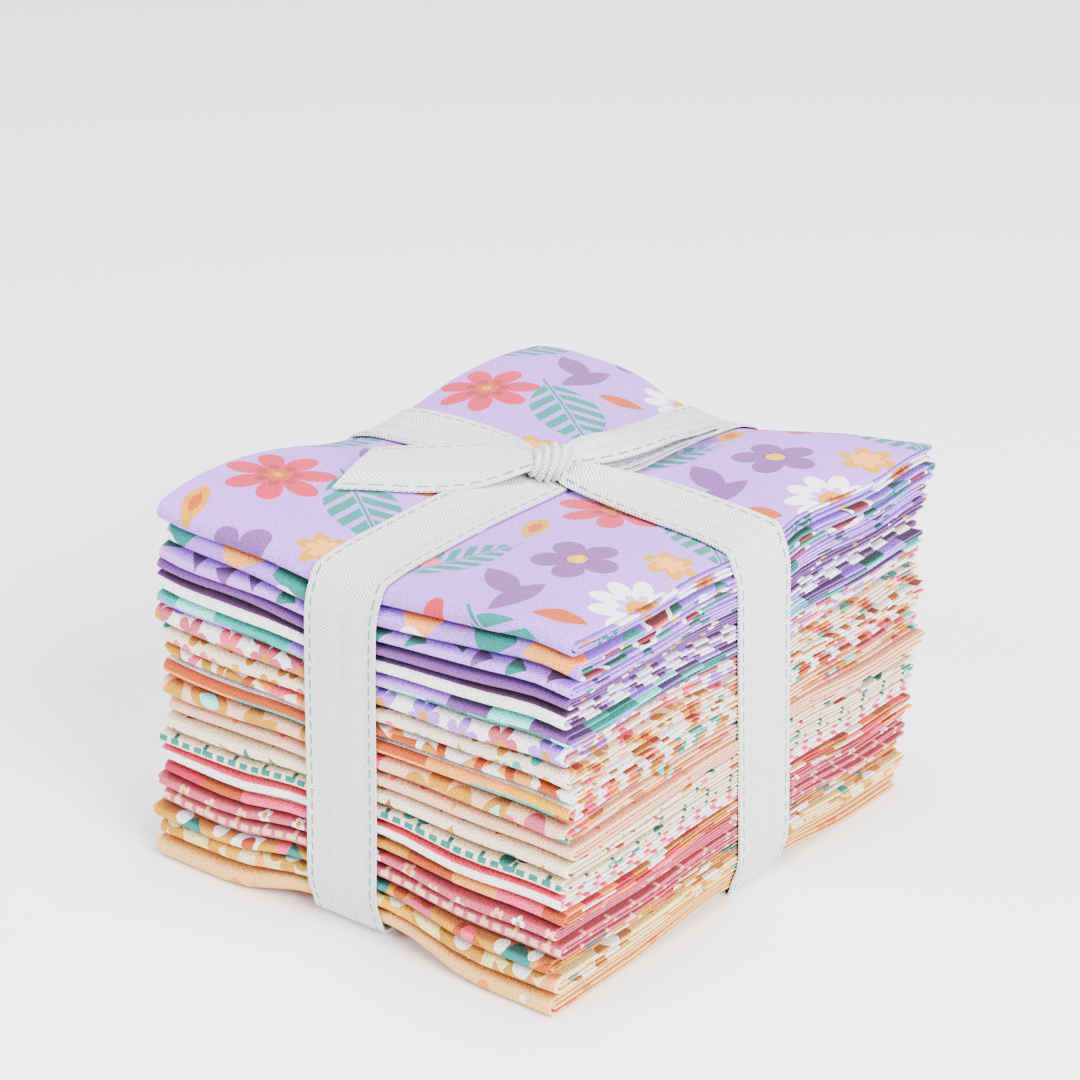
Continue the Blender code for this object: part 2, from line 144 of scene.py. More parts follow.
# The two bands: their distance from the cloths, how tightly they turn and their heights under the stack.
BAND_GAP = 0.55
LONG_TURN, LONG_UNDER = 2.2, 1.9
CROSS_TURN, CROSS_UNDER, CROSS_UNDER_Y = 1.8, 0.3, 6.9
# The long band's middle, how far it leans and wavers, and how far it strays behind the knot and comes back.
LONG_BAND_X, BAND_LEAN, BAND_WAVER = -2.6, 0.9, 0.25
BAND_SWAY, BAND_RETURN = 6.3, 1.9
Leaning = namedtuple("Leaning", "low_left high_left low_right high_right")
CROSS_BAND_Y = Leaning(6.5, 5.0, 7.4, 1.8)
# Points of the cross band's way that the arms stand in for, points across a band and across a gathered
# ribbon, and points from one station of a gathered ribbon to the next.
ARM_POINTS, BAND_COLUMNS, GATHER_COLUMNS, GATHER_STEPS = 38, 13, 25, 5


def ramp(value, start, end):
    """0 before start, 1 at end and on past it."""
    return np.clip((value - start) / (end - start), 0, None)


def eased(share):
    """From 0 to 1 with a soft start and end."""
    share = np.clip(share, 0, 1)
    return share * share * (3 - 2 * share)


def tied(value, lines):
    """1 where the ribbon lies, 0 from the crest outwards."""
    low, high = ramp(value, lines.crest_low, lines.tie_low), ramp(value, lines.crest_high, lines.tie_high)
    return eased(np.minimum(low, high))


def at_edge(value, lines):
    """1 at the stack's side, 0 from the crest inwards."""
    low, high = ramp(value, lines.crest_low, lines.side_low), ramp(value, lines.crest_high, lines.side_high)
    return np.maximum(low, high) ** EDGE_POWER


def band_sway(y, height):
    """How far the long band lies to the right of its line behind the knot, less and less down the back."""
    behind_knot = BAND_SWAY * eased((y - 2) / 15) - BAND_RETURN * eased((y - 40) / 30)
    return behind_knot * eased((height - 40) / 45)


def lift_below(x, y):
    """How far the ribbon holds the lowest cloth off the surface."""
    on_long, on_cross = tied(x, X_LINES), tied(y, Y_LINES)
    pinched = on_long * at_edge(y, Y_LINES) + on_cross * at_edge(x, X_LINES)
    return np.maximum(LONG_BAND_ROOM * on_long, CROSS_BAND_ROOM * on_cross) + EDGE_LIFT * pinched


def unevenness(x, y, height):
    """Slow waves that all the cloths share, fading out at the surface that the stack stands on."""
    wave = WAVE * np.sin(x / 11 + height / 9 + 0.5) * np.sin(y / 14 + 1.3)
    wave = wave + RIPPLE * np.sin(x / 23 - y / 17 + height / 13)
    wave = wave + EDGE_RIPPLE * np.sin(y / 6.5 + height / 5) * at_edge(x, X_LINES).clip(0, 1)
    wave = wave + EDGE_RIPPLE * np.sin(x / 7.5 - height / 6) * at_edge(y, Y_LINES).clip(0, 1)
    return wave * eased(height / 14) * (1 - 0.7 * np.maximum(tied(x, X_LINES), tied(y, Y_LINES)))


def through_stations(stations, heights, place):
    """A smooth curve through heights at stations, along their last axis, read at each place."""
    stations = np.asarray(stations, float)
    slopes = np.gradient(heights, stations, axis=-1)
    index = np.clip(np.searchsorted(stations, place) - 1, 0, len(stations) - 2)
    width = stations[index + 1] - stations[index]
    share = np.clip((place - stations[index]) / width, -0.2, 1.2)
    start, end = heights[..., index], heights[..., index + 1]
    out, back = slopes[..., index] * width, slopes[..., index + 1] * width
    cube, square = share**3, share**2
    return ((2 * cube - 3 * square + 1) * start + (cube - 2 * square + share) * out
            + (3 * square - 2 * cube) * end + (cube - square) * back)


def make_top_table():
    """The heights of the tied top on a fine even grid."""
    fine_x = np.arange(-TABLE_REACH_X, TABLE_REACH_X + TABLE_PITCH / 2, TABLE_PITCH)
    fine_y = np.arange(-TABLE_REACH_Y, TABLE_REACH_Y + TABLE_PITCH / 2, TABLE_PITCH)
    rows = through_stations(TOP_X, np.array(TOP_HEIGHTS), fine_x)
    return through_stations(TOP_Y, rows.T, fine_y)


TOP_TABLE = make_top_table()


def pressed_top(x, y):
    """Height of the tied top from its table."""
    columns, rows = TOP_TABLE.shape
    column = np.clip((x + TABLE_REACH_X) / TABLE_PITCH, 0, columns - 1.001)
    row = np.clip((y + TABLE_REACH_Y) / TABLE_PITCH, 0, rows - 1.001)
    i, j = column.astype(int), row.astype(int)
    u, v = column - i, row - j
    near = TOP_TABLE[i, j] * (1 - v) + TOP_TABLE[i, j + 1] * v
    far = TOP_TABLE[i + 1, j] * (1 - v) + TOP_TABLE[i + 1, j + 1] * v
    return near * (1 - u) + far * u


def tie(x, y, height):
    """Moves points of the untied stack to where they are once the ribbon is tied."""
    x, y, height = np.broadcast_arrays(np.asarray(x, float), np.asarray(y, float), np.asarray(height, float))
    edge_x, edge_y = at_edge(x, X_LINES), at_edge(y, Y_LINES)
    drop = STACK_HEIGHT - pressed_top(x, y)
    up = np.clip(height / STACK_HEIGHT, 0, 1)
    z = height + lift_below(x, y) * (1 - up) ** SETTLE_POWER - drop * up**SETTLE_POWER
    near_end = eased((np.abs(height - STACK_HEIGHT / 2) - STACK_HEIGHT / 2 + SQUEEZE_REACH) / SQUEEZE_REACH)
    inward = SQUEEZE * near_end**1.5
    new_x = x - np.sign(x) * inward * np.minimum(edge_x, 1) * tied(y, Y_LINES)
    new_y = y - np.sign(y) * inward * np.minimum(edge_y, 1) * tied(x - band_sway(y, height), X_LINES)
    return new_x, new_y, z + unevenness(x, y, height)


def tied_places(x, y, height):
    """The same as one array of points."""
    return np.stack(tie(x, y, height), axis=-1)


def top_at(x, y):
    """Height of the tied stack's top."""
    return tie(x, y, STACK_HEIGHT)[2]


def fold_points(start, tip, from_height, to_height, count):
    """A rounded turn between two passes, as (along, height) without its two ends."""
    angle = np.pi * np.arange(1, count + 1) / (count + 1)
    middle, half = (from_height + to_height) / 2, (to_height - from_height) / 2
    return np.column_stack((start + (tip - start) * np.sin(angle), middle - half * np.cos(angle)))


def straight(positions, height):
    """Level points, as (along, height)."""
    return np.column_stack((positions, np.full(len(positions), height)))


def upright(along, heights):
    """Points above each other, as (along, height)."""
    return np.column_stack((np.full(len(heights), along), heights))


def along_path(path):
    """Distance along a path of points."""
    steps = np.linalg.norm(np.diff(path, axis=0), axis=1)
    return np.concatenate(([0], np.cumsum(steps)))


def normals_of(path):
    """Unit normals of a path in its plane, to the right of the way it runs for a path read as (y, height)."""
    tangent = np.gradient(path, axis=0)
    tangent = tangent / np.linalg.norm(tangent, axis=1)[:, None]
    return np.column_stack((tangent[:, 1], -tangent[:, 0]))


def pass_thickness(thick):
    """The thickness of one pass of the strip in a cloth of this thickness."""
    return (thick - (PASSES - 1) * PASS_GAP) / PASSES


def folded_rows(thick):
    """The middle line of the folded strip, as (y, height), from its lower free end to its upper one."""
    layer = pass_thickness(thick)
    step, half = layer + PASS_GAP, layer / 2
    lowest, second, third, highest = half, step + half, 2 * step + half, thick - half
    inner = np.array(Y_SHARES) * HALF_DEPTH
    down = inner[::-1]
    front = -HALF_DEPTH + FRONT_FOLD_REACH
    back = HALF_DEPTH - BACK_FOLD_REACH
    small_tip = -HALF_DEPTH + layer + 2 * PASS_GAP + half
    small_front = small_tip + SMALL_FOLD_REACH
    return np.vstack((
        straight((HALF_DEPTH - LOWER_END_BACK, *down, front), lowest),
        fold_points(front, -HALF_DEPTH + half, lowest, highest, 8),
        straight((front, *inner, back), highest),
        fold_points(back, HALF_DEPTH - half, highest, third, 5),
        straight((back, *down, small_front), third),
        fold_points(small_front, small_tip, third, second, 5),
        straight((small_front, *inner, HALF_DEPTH - UPPER_END_BACK), second),
    ))


def folded_columns(layer):
    """The strip's own section, as (x, offset in its thickness): four sheets, two folds at one side."""
    lowest, second, third, highest = (np.arange(PASSES) + 0.5) / PASSES * layer - layer / 2
    inner = np.array(X_SHARES) * HALF_WIDTH
    down = inner[::-1]
    side = HALF_WIDTH - layer / 2
    far = -HALF_WIDTH + FAR_FOLD_REACH
    return np.vstack((
        straight((-HALF_WIDTH, *inner), lowest),
        fold_points(side, HALF_WIDTH, lowest, highest, 5),
        straight((*down, far), highest),
        fold_points(far, -HALF_WIDTH, highest, third, 3),
        straight((far, *inner), third),
        fold_points(side - INNER_FOLD_BACK, HALF_WIDTH - INNER_TIP_BACK, third, second, 3),
        straight((*down, -HALF_WIDTH + INNER_EDGE_BACK), second),
    ))


def deselect():
    """Leaves no object selected."""
    bpy.ops.object.select_all(action="DESELECT")


def add_sheet(name, places, cloth_uv, thick, materials):
    """A grid primitive laid on the places (rows, columns, 3), in millimetres, and given its thickness."""
    rows, columns = places.shape[:2]
    deselect()
    bpy.ops.mesh.primitive_grid_add(x_subdivisions=columns - 1, y_subdivisions=rows - 1, size=1.0)
    sheet = bpy.context.object
    sheet.name = sheet.data.name = name
    mesh = sheet.data
    flat = np.empty(len(mesh.vertices) * 3)
    mesh.vertices.foreach_get("co", flat)
    flat = flat.reshape(-1, 3)
    column = np.rint((flat[:, 0] + 0.5) * (columns - 1)).astype(int)
    row = np.rint((flat[:, 1] + 0.5) * (rows - 1)).astype(int)
    if len(flat) != rows * columns:
        raise RuntimeError(f"{name}: the grid has {len(flat)} points, not {rows * columns}")
    mesh.vertices.foreach_set("co", (places[row, column] * MM).ravel())
    corner = np.empty(len(mesh.loops), dtype=int)
    mesh.loops.foreach_get("vertex_index", corner)
    mesh.uv_layers.active.name = "Cloth"
    mesh.uv_layers.active.data.foreach_set("uv", cloth_uv[row[corner], column[corner]].ravel())
    mesh.update()
    for material in materials:
        mesh.materials.append(material)
    bpy.ops.object.shade_smooth()
    bpy.ops.object.modifier_add(type="SOLIDIFY")
    solidify = sheet.modifiers[-1]
    solidify.thickness = thick * MM
    solidify.offset = 0.0
    solidify.material_offset_rim = len(materials) - 1
    bpy.ops.object.modifier_apply(modifier=solidify.name)
    bpy.ops.object.shade_smooth_by_angle(angle=SMOOTH_ANGLE)
    return sheet


def paint_fold_shade(sheet):
    """Stores a painted shade for each place of a folded cloth, by how far it turns in between the cloths above
    and below it.
    """
    mesh = sheet.data
    place = np.empty(len(mesh.vertices) * 3)
    facing = np.empty(len(mesh.vertices) * 3)
    mesh.vertices.foreach_get("co", place)
    mesh.vertex_normals.foreach_get("vector", facing)
    x, y, z = place.reshape(-1, 3).T / MM
    depth = top_at(x, y) - z
    # Painted shade: steep places of a fold below the top of the stack get a darker colour, standing in for the
    # shadow between the cloths.
    turned = eased((np.abs(facing[2::3]) - FOLD_SHADE_START) / (1 - FOLD_SHADE_START))
    painted_shade = mesh.attributes.new("tuck", "FLOAT", "POINT")
    painted_shade.data.foreach_set("value", turned * np.clip(depth - FOLD_SHADE_DEPTH, 0, 1))


def lay_quarter(number, quarter, base, materials):
    """One cloth, folded in four each way, shifted a little and tied into the stack."""
    thick = quarter.thick - FOLD_SINK
    rows, columns = folded_rows(thick), folded_columns(pass_thickness(thick))
    row_normal = normals_of(rows)
    down_cloth, across_cloth = along_path(rows), along_path(columns)
    offset = columns[None, :, 1]
    y = rows[:, 0, None] + row_normal[:, 0, None] * offset
    height = rows[:, 1, None] + row_normal[:, 1, None] * offset
    x = np.broadcast_to(columns[None, :, 0], y.shape).copy()
    free_x, free_y = 1 - tied(y, Y_LINES), 1 - tied(x - band_sway(y, base + height), X_LINES)
    edge_x, edge_y = at_edge(x, X_LINES), at_edge(y, Y_LINES)
    phase = number * WANDER_PHASE
    skew = np.sin(down_cloth / 60 + phase) * 0.8 + np.sin(down_cloth / 23 + 2 * phase) * 0.3
    along_fold = np.sin(x / 17 + phase) * 0.6 + np.sin(x / 8.3 + 3 * phase) * 0.25
    free_x, free_y = HELD_BY_CROSS + (1 - HELD_BY_CROSS) * free_x, HELD_BY_LONG + (1 - HELD_BY_LONG) * free_y
    x_moved = x + (quarter.shift_x + quarter.wander * skew[:, None]) * edge_x * free_x
    y_moved = y + (quarter.shift_y + quarter.wander * along_fold) * edge_y * free_y
    places = tied_places(x_moved, y_moved, base + height)
    uv = np.broadcast_arrays(across_cloth[None, :] / FLAT_WIDTH, down_cloth[:, None] / FLAT_LENGTH)
    uv = np.stack(uv, axis=-1).clip(0, 1)
    sheet = add_sheet(f"printed_cotton_{number:02d}", places, uv, COTTON_THICK, materials)
    paint_fold_shade(sheet)
    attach(sheet, "root")
    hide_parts(f"fat_quarter_{number:02d}")
    return sheet


def smooth_through(values, per_step):
    """A smooth curve through the values, with per_step points from one to the next."""
    values = np.asarray(values, float)
    padded = np.concatenate((2 * values[:1] - values[1:2], values, 2 * values[-1:] - values[-2:-1]))
    share = np.linspace(0, 1, per_step, endpoint=False)
    share = share.reshape((-1,) + (1,) * (values.ndim - 1))
    parts = []
    for index in range(len(values) - 1):
        before, start, end, after = padded[index : index + 4]
        parts.append(
            0.5 * (2 * start + (end - before) * share + (2 * before - 5 * start + 4 * end - after) * share**2
                   + (3 * start - before - 3 * end + after) * share**3)
        )
    return np.concatenate(parts + [values[-1:]])


def ribbon_uv(places, distance):
    """The ribbon's UV map: across its width, and along it by the distance in millimetres."""
    across = np.linspace(0, 1, places.shape[1])
    grids = np.broadcast_arrays(across[None, :], distance / RIBBON_UV_LENGTH)
    return np.stack(grids, axis=-1).clip(0, 1)


def make_ribbon(name, node, places, distance, material):
    """A ribbon piece: its sheet, attached to the root in place of the model's node, which is hidden."""
    if distance.ndim == 1:
        distance = distance[:, None]
    sheet = add_sheet(name, places, ribbon_uv(places, distance), RIBBON_THICK, [material])
    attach(sheet, "root")
    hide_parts(node)
    return sheet


def round_stack(half, gap, turn, bottom_height):
    """The way round the untied stack, as (along, height), from under its middle up the low side and back."""
    side = half + gap
    low_turn = side - turn
    angle = np.linspace(0, math.pi / 2, 7)
    under = np.linspace(0, -low_turn, 14, endpoint=False)
    path = [straight(under, 0.0)]
    path += [np.column_stack((-low_turn - turn * np.sin(angle), turn * (1 - np.cos(angle))))]
    high = STACK_HEIGHT + gap - turn
    path += [upright(-side, np.linspace(turn, high, 24)[1:-1])]
    path += [np.column_stack((-low_turn - turn * np.cos(angle), high + turn * np.sin(angle)))]
    path += [straight(np.linspace(-low_turn, 0, 20)[1:], STACK_HEIGHT + gap)]
    half_way = np.vstack(path)
    other = half_way[::-1][1:] * (-1, 1)
    whole = np.vstack((half_way, other))
    under_share = eased((turn - whole[:, 1]) / turn)
    whole[:, 1] += under_share * bottom_height(whole[:, 0])
    return whole


def make_long_band(material):
    """The band that runs front to back, closed under the stack."""
    across = np.linspace(-0.5, 0.5, BAND_COLUMNS) * RIBBON_WIDTH
    way = round_stack(HALF_DEPTH, BAND_GAP, LONG_TURN,
                      lambda y: LONG_UNDER - lift_below(np.full_like(y, LONG_BAND_X), y))
    y, height = way[:, 0, None], way[:, 1, None]
    x = LONG_BAND_X + across[None, :] + BAND_LEAN * (height / STACK_HEIGHT - 0.5)
    x = x + BAND_WAVER * np.sin(height / 15) + band_sway(y, height)
    distance = along_path(way)
    return make_ribbon("twill_long_band", "ribbon_long_band", tied_places(x, y, height), distance,
                       material)


def cross_y(x, z):
    """The cross band's middle at a place on the stack's outline."""
    up, right = z / STACK_HEIGHT, (x / HALF_WIDTH + 1) / 2
    left_y = CROSS_BAND_Y.low_left + (CROSS_BAND_Y.high_left - CROSS_BAND_Y.low_left) * up
    right_y = CROSS_BAND_Y.low_right + (CROSS_BAND_Y.high_right - CROSS_BAND_Y.low_right) * up
    return left_y + (right_y - left_y) * right


# The knot: its middle, with the height above the pressed top, the way it points and the way square to that,
# half its size each way, and the share of the wrap's width that shows before its edges tuck in.
KNOT = Vector((0.6, -0.2, 4.1))
KNOT_WAY = Vector((0.793, 0.609, 0)).normalized()
KNOT_SQUARE = Vector((-0.609, 0.793, 0)).normalized()
KNOT_HALF_WIDE, KNOT_HALF_DEEP, KNOT_HALF_TALL = 4.2, 3.6, 2.1
KNOT_SHOWN, KNOT_POINTS = 0.72, 61

# Stations of a gathered ribbon: its middle, the way across, its width, how deep it is pleated, how much
# its middle arches, how much its far edge is raised, and a shift along it that slants a cut or fold.
Gather = namedtuple("Gather", "x y rise across_x across_y width pleat arch lean slant", defaults=(0, 0, 0, 0))
RIGHT_ARM = (
    Gather(0.9, 0.2, 3.7, 0.5, 0.86, 3.2, 1.0),
    Gather(3.9, 1.0, 3.3, 0.4, 0.9, 6.2, 1.0, 0.2),
    Gather(7.5, 1.2, 2.8, 0.2, 0.98, 9.6, 0.95, 0.6, 1.0),
    Gather(12.0, 2.4, 2.2, 0.08, 1.0, 13.4, 0.65, 0.7, 1.0),
    Gather(17.0, 3.1, 1.6, 0.0, 1.0, 16.4, 0.4, 0.5, 0.6),
    Gather(23.0, 3.1, 1.05, 0.0, 1.0, 18.6, 0.16, 0.2, 0.2),
    Gather(30.0, 2.8, 0.7, 0.0, 1.0, 19.5, 0.02),
    Gather(38.0, 2.4, 0.6, 0.0, 1.0, 19.5),
)
LEFT_ARM = (
    Gather(0.1, 0.2, 3.7, -0.5, -0.86, 3.2, 1.0),
    Gather(-3.0, 0.4, 3.2, -0.3, -0.95, 5.2, 1.0, 0.2),
    Gather(-7.5, 1.6, 2.5, -0.1, -1.0, 9.0, 0.7, 0.4),
    Gather(-13.5, 3.2, 1.7, 0.0, -1.0, 14.5, 0.35, 0.4),
    Gather(-20.0, 3.6, 1.1, 0.0, -1.0, 18.0, 0.1, 0.1),
    Gather(-28.0, 4.2, 0.7, 0.0, -1.0, 19.3, 0.02),
    Gather(-38.0, 4.7, 0.6, 0.0, -1.0, 19.5),
)
LOOP = (
    Gather(1.2, 1.0, 4.2, 0.8, -0.6, 3.0, 0.8),
    Gather(3.0, 5.0, 3.2, 0.9, -0.42, 7.0, 0.9),
    Gather(3.6, 9.5, 2.3, 0.97, -0.25, 12.5, 0.5),
    Gather(3.7, 15.5, 1.7, 0.99, -0.12, 17.0, 0.16),
    Gather(3.8, 24.0, 1.5, 0.99, -0.12, 19.2, 0.02),
    Gather(4.6, 33.0, 1.5, 0.97, -0.24, 19.3, 0.0, 0.0, 0.0, -1.5),
    Gather(6.8, 42.0, 1.6, 0.93, -0.36, 19.3, 0.0, 0.0, 0.0, -3.0),
    Gather(8.8, 47.6, 1.8, 0.93, -0.36, 19.2, 0.0, 0.0, 0.0, -3.6),
    Gather(9.5, 49.6, 2.5, 0.93, -0.36, 19.0, 0.0, 0.0, 0.0, -3.8),
    Gather(9.2, 47.6, 3.2, 0.93, -0.36, 19.0, 0.0, 0.1, 0.0, -3.6),
    Gather(8.6, 38.5, 3.6, 0.95, -0.31, 19.0, 0.0, 0.4, 0.2, -1.5),
    Gather(7.8, 28.5, 4.4, 0.96, -0.28, 18.2, 0.04, 1.0, 0.9),
    Gather(7.0, 19.0, 4.9, 0.94, -0.34, 16.5, 0.2, 1.6, 0.4),
    Gather(5.7, 12.3, 5.3, 0.92, -0.38, 14.2, 0.4, 1.9, -0.4),
    Gather(3.9, 7.2, 5.3, 0.87, -0.5, 10.5, 0.75, 1.3, -0.6),
    Gather(2.2, 3.2, 4.9, 0.8, -0.6, 5.5, 0.9, 0.4),
    Gather(1.2, 0.8, 4.6, 0.8, -0.6, 3.0, 0.8),
)
TAIL = (
    Gather(0.2, -0.8, 4.6, -0.6, 0.8, 3.0, 0.8),
    Gather(-2.0, -2.4, 4.6, -0.6, 0.8, 5.0, 0.9, 0.3, 0.5),
    Gather(-5.5, -4.3, 4.1, -0.59, 0.81, 10.0, 0.6, 0.8, 1.6),
    Gather(-9.6, -6.2, 3.3, -0.58, 0.81, 15.2, 0.24, 1.0, 2.6),
    Gather(-13.6, -10.4, 2.7, -0.58, 0.81, 18.4, 0.06, 0.8, 3.2),
    Gather(-18.0, -15.3, 2.4, -0.58, 0.81, 19.2, 0.0, 0.5, 3.3),
    Gather(-22.8, -19.9, 2.1, -0.58, 0.81, 19.4, 0.0, 0.3, 3.2, -0.8),
    Gather(-27.2, -24.2, 1.9, -0.58, 0.81, 19.4, 0.0, 0.2, 2.9, -2.2),
    Gather(-32.3, -29.4, 1.7, -0.58, 0.81, 19.4, 0.0, 0.2, 2.6, -3.9),
)


def gathered(stations):
    """Places of a gathered ribbon over the tied top, and the distance along its middle."""
    rows = smooth_through(stations, GATHER_STEPS)
    x, y, rise, across_x, across_y, width, pleat, arch, lean, slant = rows.T
    centre = np.column_stack((x, y, rise))
    size = np.hypot(across_x, across_y)
    across = np.column_stack((across_x / size, across_y / size))
    outward = np.column_stack((-across[:, 1], across[:, 0]))
    share = np.linspace(-0.5, 0.5, GATHER_COLUMNS)
    shift = slant[:, None] * share[None, :] * 2
    px = x[:, None] + across[:, 0, None] * width[:, None] * share + outward[:, 0, None] * shift
    py = y[:, None] + across[:, 1, None] * width[:, None] * share + outward[:, 1, None] * shift
    wave = np.cos(2 * math.pi * 3 * share[None, :] + 0.6 * np.sin(np.arange(len(x)) / 5)[:, None])
    pz = rise[:, None] + pleat[:, None] * wave + arch[:, None] * np.cos(math.pi * share[None, :])
    pz = pz + lean[:, None] * share[None, :]
    base = top_at(px, py)
    middle = top_at(x, y)[:, None]
    pz = pz + middle + (base - middle) * np.clip(width / RIBBON_WIDTH, 0, 1)[:, None] ** 2
    return np.stack((px, py, pz), axis=-1), along_path(centre)


def make_cross_band(material):
    """The band that runs side to side: both arms gather into the knot."""
    across = np.linspace(-0.5, 0.5, GATHER_COLUMNS) * RIBBON_WIDTH
    way = round_stack(HALF_WIDTH, BAND_GAP, CROSS_TURN,
                      lambda x: CROSS_UNDER - lift_below(x, np.full_like(x, CROSS_UNDER_Y)))
    arm_end = np.argmax(way[:, 1] >= STACK_HEIGHT) + ARM_POINTS
    down_right, up_left = way[arm_end:-1], way[: len(way) - arm_end]
    x, height = np.vstack((down_right, up_left)).T
    y = cross_y(x, height.clip(0, STACK_HEIGHT))[:, None] + across[None, :]
    round_places = tied_places(x[:, None], y, height[:, None])
    right, left = gathered(RIGHT_ARM)[0], gathered(LEFT_ARM)[0]
    places = np.concatenate((right, round_places, left[::-1, ::-1]))
    distance = along_path(places[:, GATHER_COLUMNS // 2])
    return make_ribbon("twill_cross_band", "ribbon_cross_band", places, distance,
                       material)


def make_loop(material):
    """The bow's one loop, lying back over the long band."""
    places, distance = gathered(LOOP)
    return make_ribbon("twill_loop", "ribbon_bow_loop", places, distance,
                       material)


def make_tail(material):
    """The bow's tail, with its slanted cut."""
    places, distance = gathered(TAIL)
    share = np.linspace(-1, 1, GATHER_COLUMNS)
    slant = smooth_through([station.slant for station in TAIL], GATHER_STEPS)
    distance = distance[:, None] - slant[:, None] * share[None, :]
    return make_ribbon("twill_tail", "ribbon_bow_tail", places, distance - distance.min(),
                       material)


def make_knot(material):
    """The wrap round the knot: a gathered turn of the ribbon, pleated along its way, with its edges tucked in."""
    turn = np.linspace(-math.pi / 2, 1.5 * math.pi, KNOT_POINTS)[:, None]
    share = np.linspace(-1, 1, KNOT_POINTS)[None, :]
    tuck = np.clip((np.abs(share) - KNOT_SHOWN) / (1 - KNOT_SHOWN), 0, 1)
    spread = np.clip(share / KNOT_SHOWN, -1, 1)
    half_wide = KNOT_HALF_WIDE + 0.6 * np.cos(turn - 0.6)
    rounded = np.cos(math.pi / 2 * spread) ** 0.7
    pleats = 0.8 * np.cos(2 * math.pi * 2.1 * spread + 0.9 * np.cos(turn + 0.4)) + 0.1 * np.cos(19 * spread)
    swell = 1.5 * rounded + pleats * rounded**0.6 - 1.7 * np.sin(math.pi / 2 * tuck)
    along = half_wide * (spread - np.sign(share) * 0.45 * (1 - np.cos(math.pi * tuck)) / 2) + 1.1 * np.sin(turn)
    out = (KNOT_HALF_DEEP + swell) * np.cos(turn)
    rise = (KNOT_HALF_TALL + swell * 0.95) * np.sin(turn)
    x = KNOT.x + KNOT_WAY.x * along + KNOT_SQUARE.x * out
    y = KNOT.y + KNOT_WAY.y * along + KNOT_SQUARE.y * out
    z = KNOT.z + float(top_at(KNOT.x, KNOT.y)) + rise
    places = np.stack(np.broadcast_arrays(x, y, z), axis=-1)[:, ::-1]
    distance = along_path(places[:, places.shape[1] // 2])
    return make_ribbon("twill_knot", "ribbon_knot", places, distance,
                       material)


def tint(code):
    """A colour written as six hexadecimal digits, as linear red, green, blue and alpha."""
    parts = [int(code[at : at + 2], 16) / 255 for at in (0, 2, 4)]
    linear = [part / 12.92 if part <= 0.04045 else ((part + 0.055) / 1.055) ** 2.4 for part in parts]
    return (*linear, 1.0)


class Value:
    """A number in a node tree: working with it adds the nodes that do the same at each place of a surface."""

    def __init__(self, board, socket):
        self.board, self.socket = board, socket

    def __add__(self, other):
        return self.board.math("ADD", self, other)

    def __sub__(self, other):
        return self.board.math("SUBTRACT", self, other)

    def __rsub__(self, other):
        return self.board.math("SUBTRACT", other, self)

    def __mul__(self, other):
        return self.board.math("MULTIPLY", self, other)

    def __truediv__(self, other):
        return self.board.math("DIVIDE", self, other)

    def __rtruediv__(self, other):
        return self.board.math("DIVIDE", other, self)

    def __lt__(self, other):
        return self.board.math("LESS_THAN", self, other)

    def __gt__(self, other):
        return self.board.math("GREATER_THAN", self, other)

    def __abs__(self):
        return self.board.math("ABSOLUTE", self)


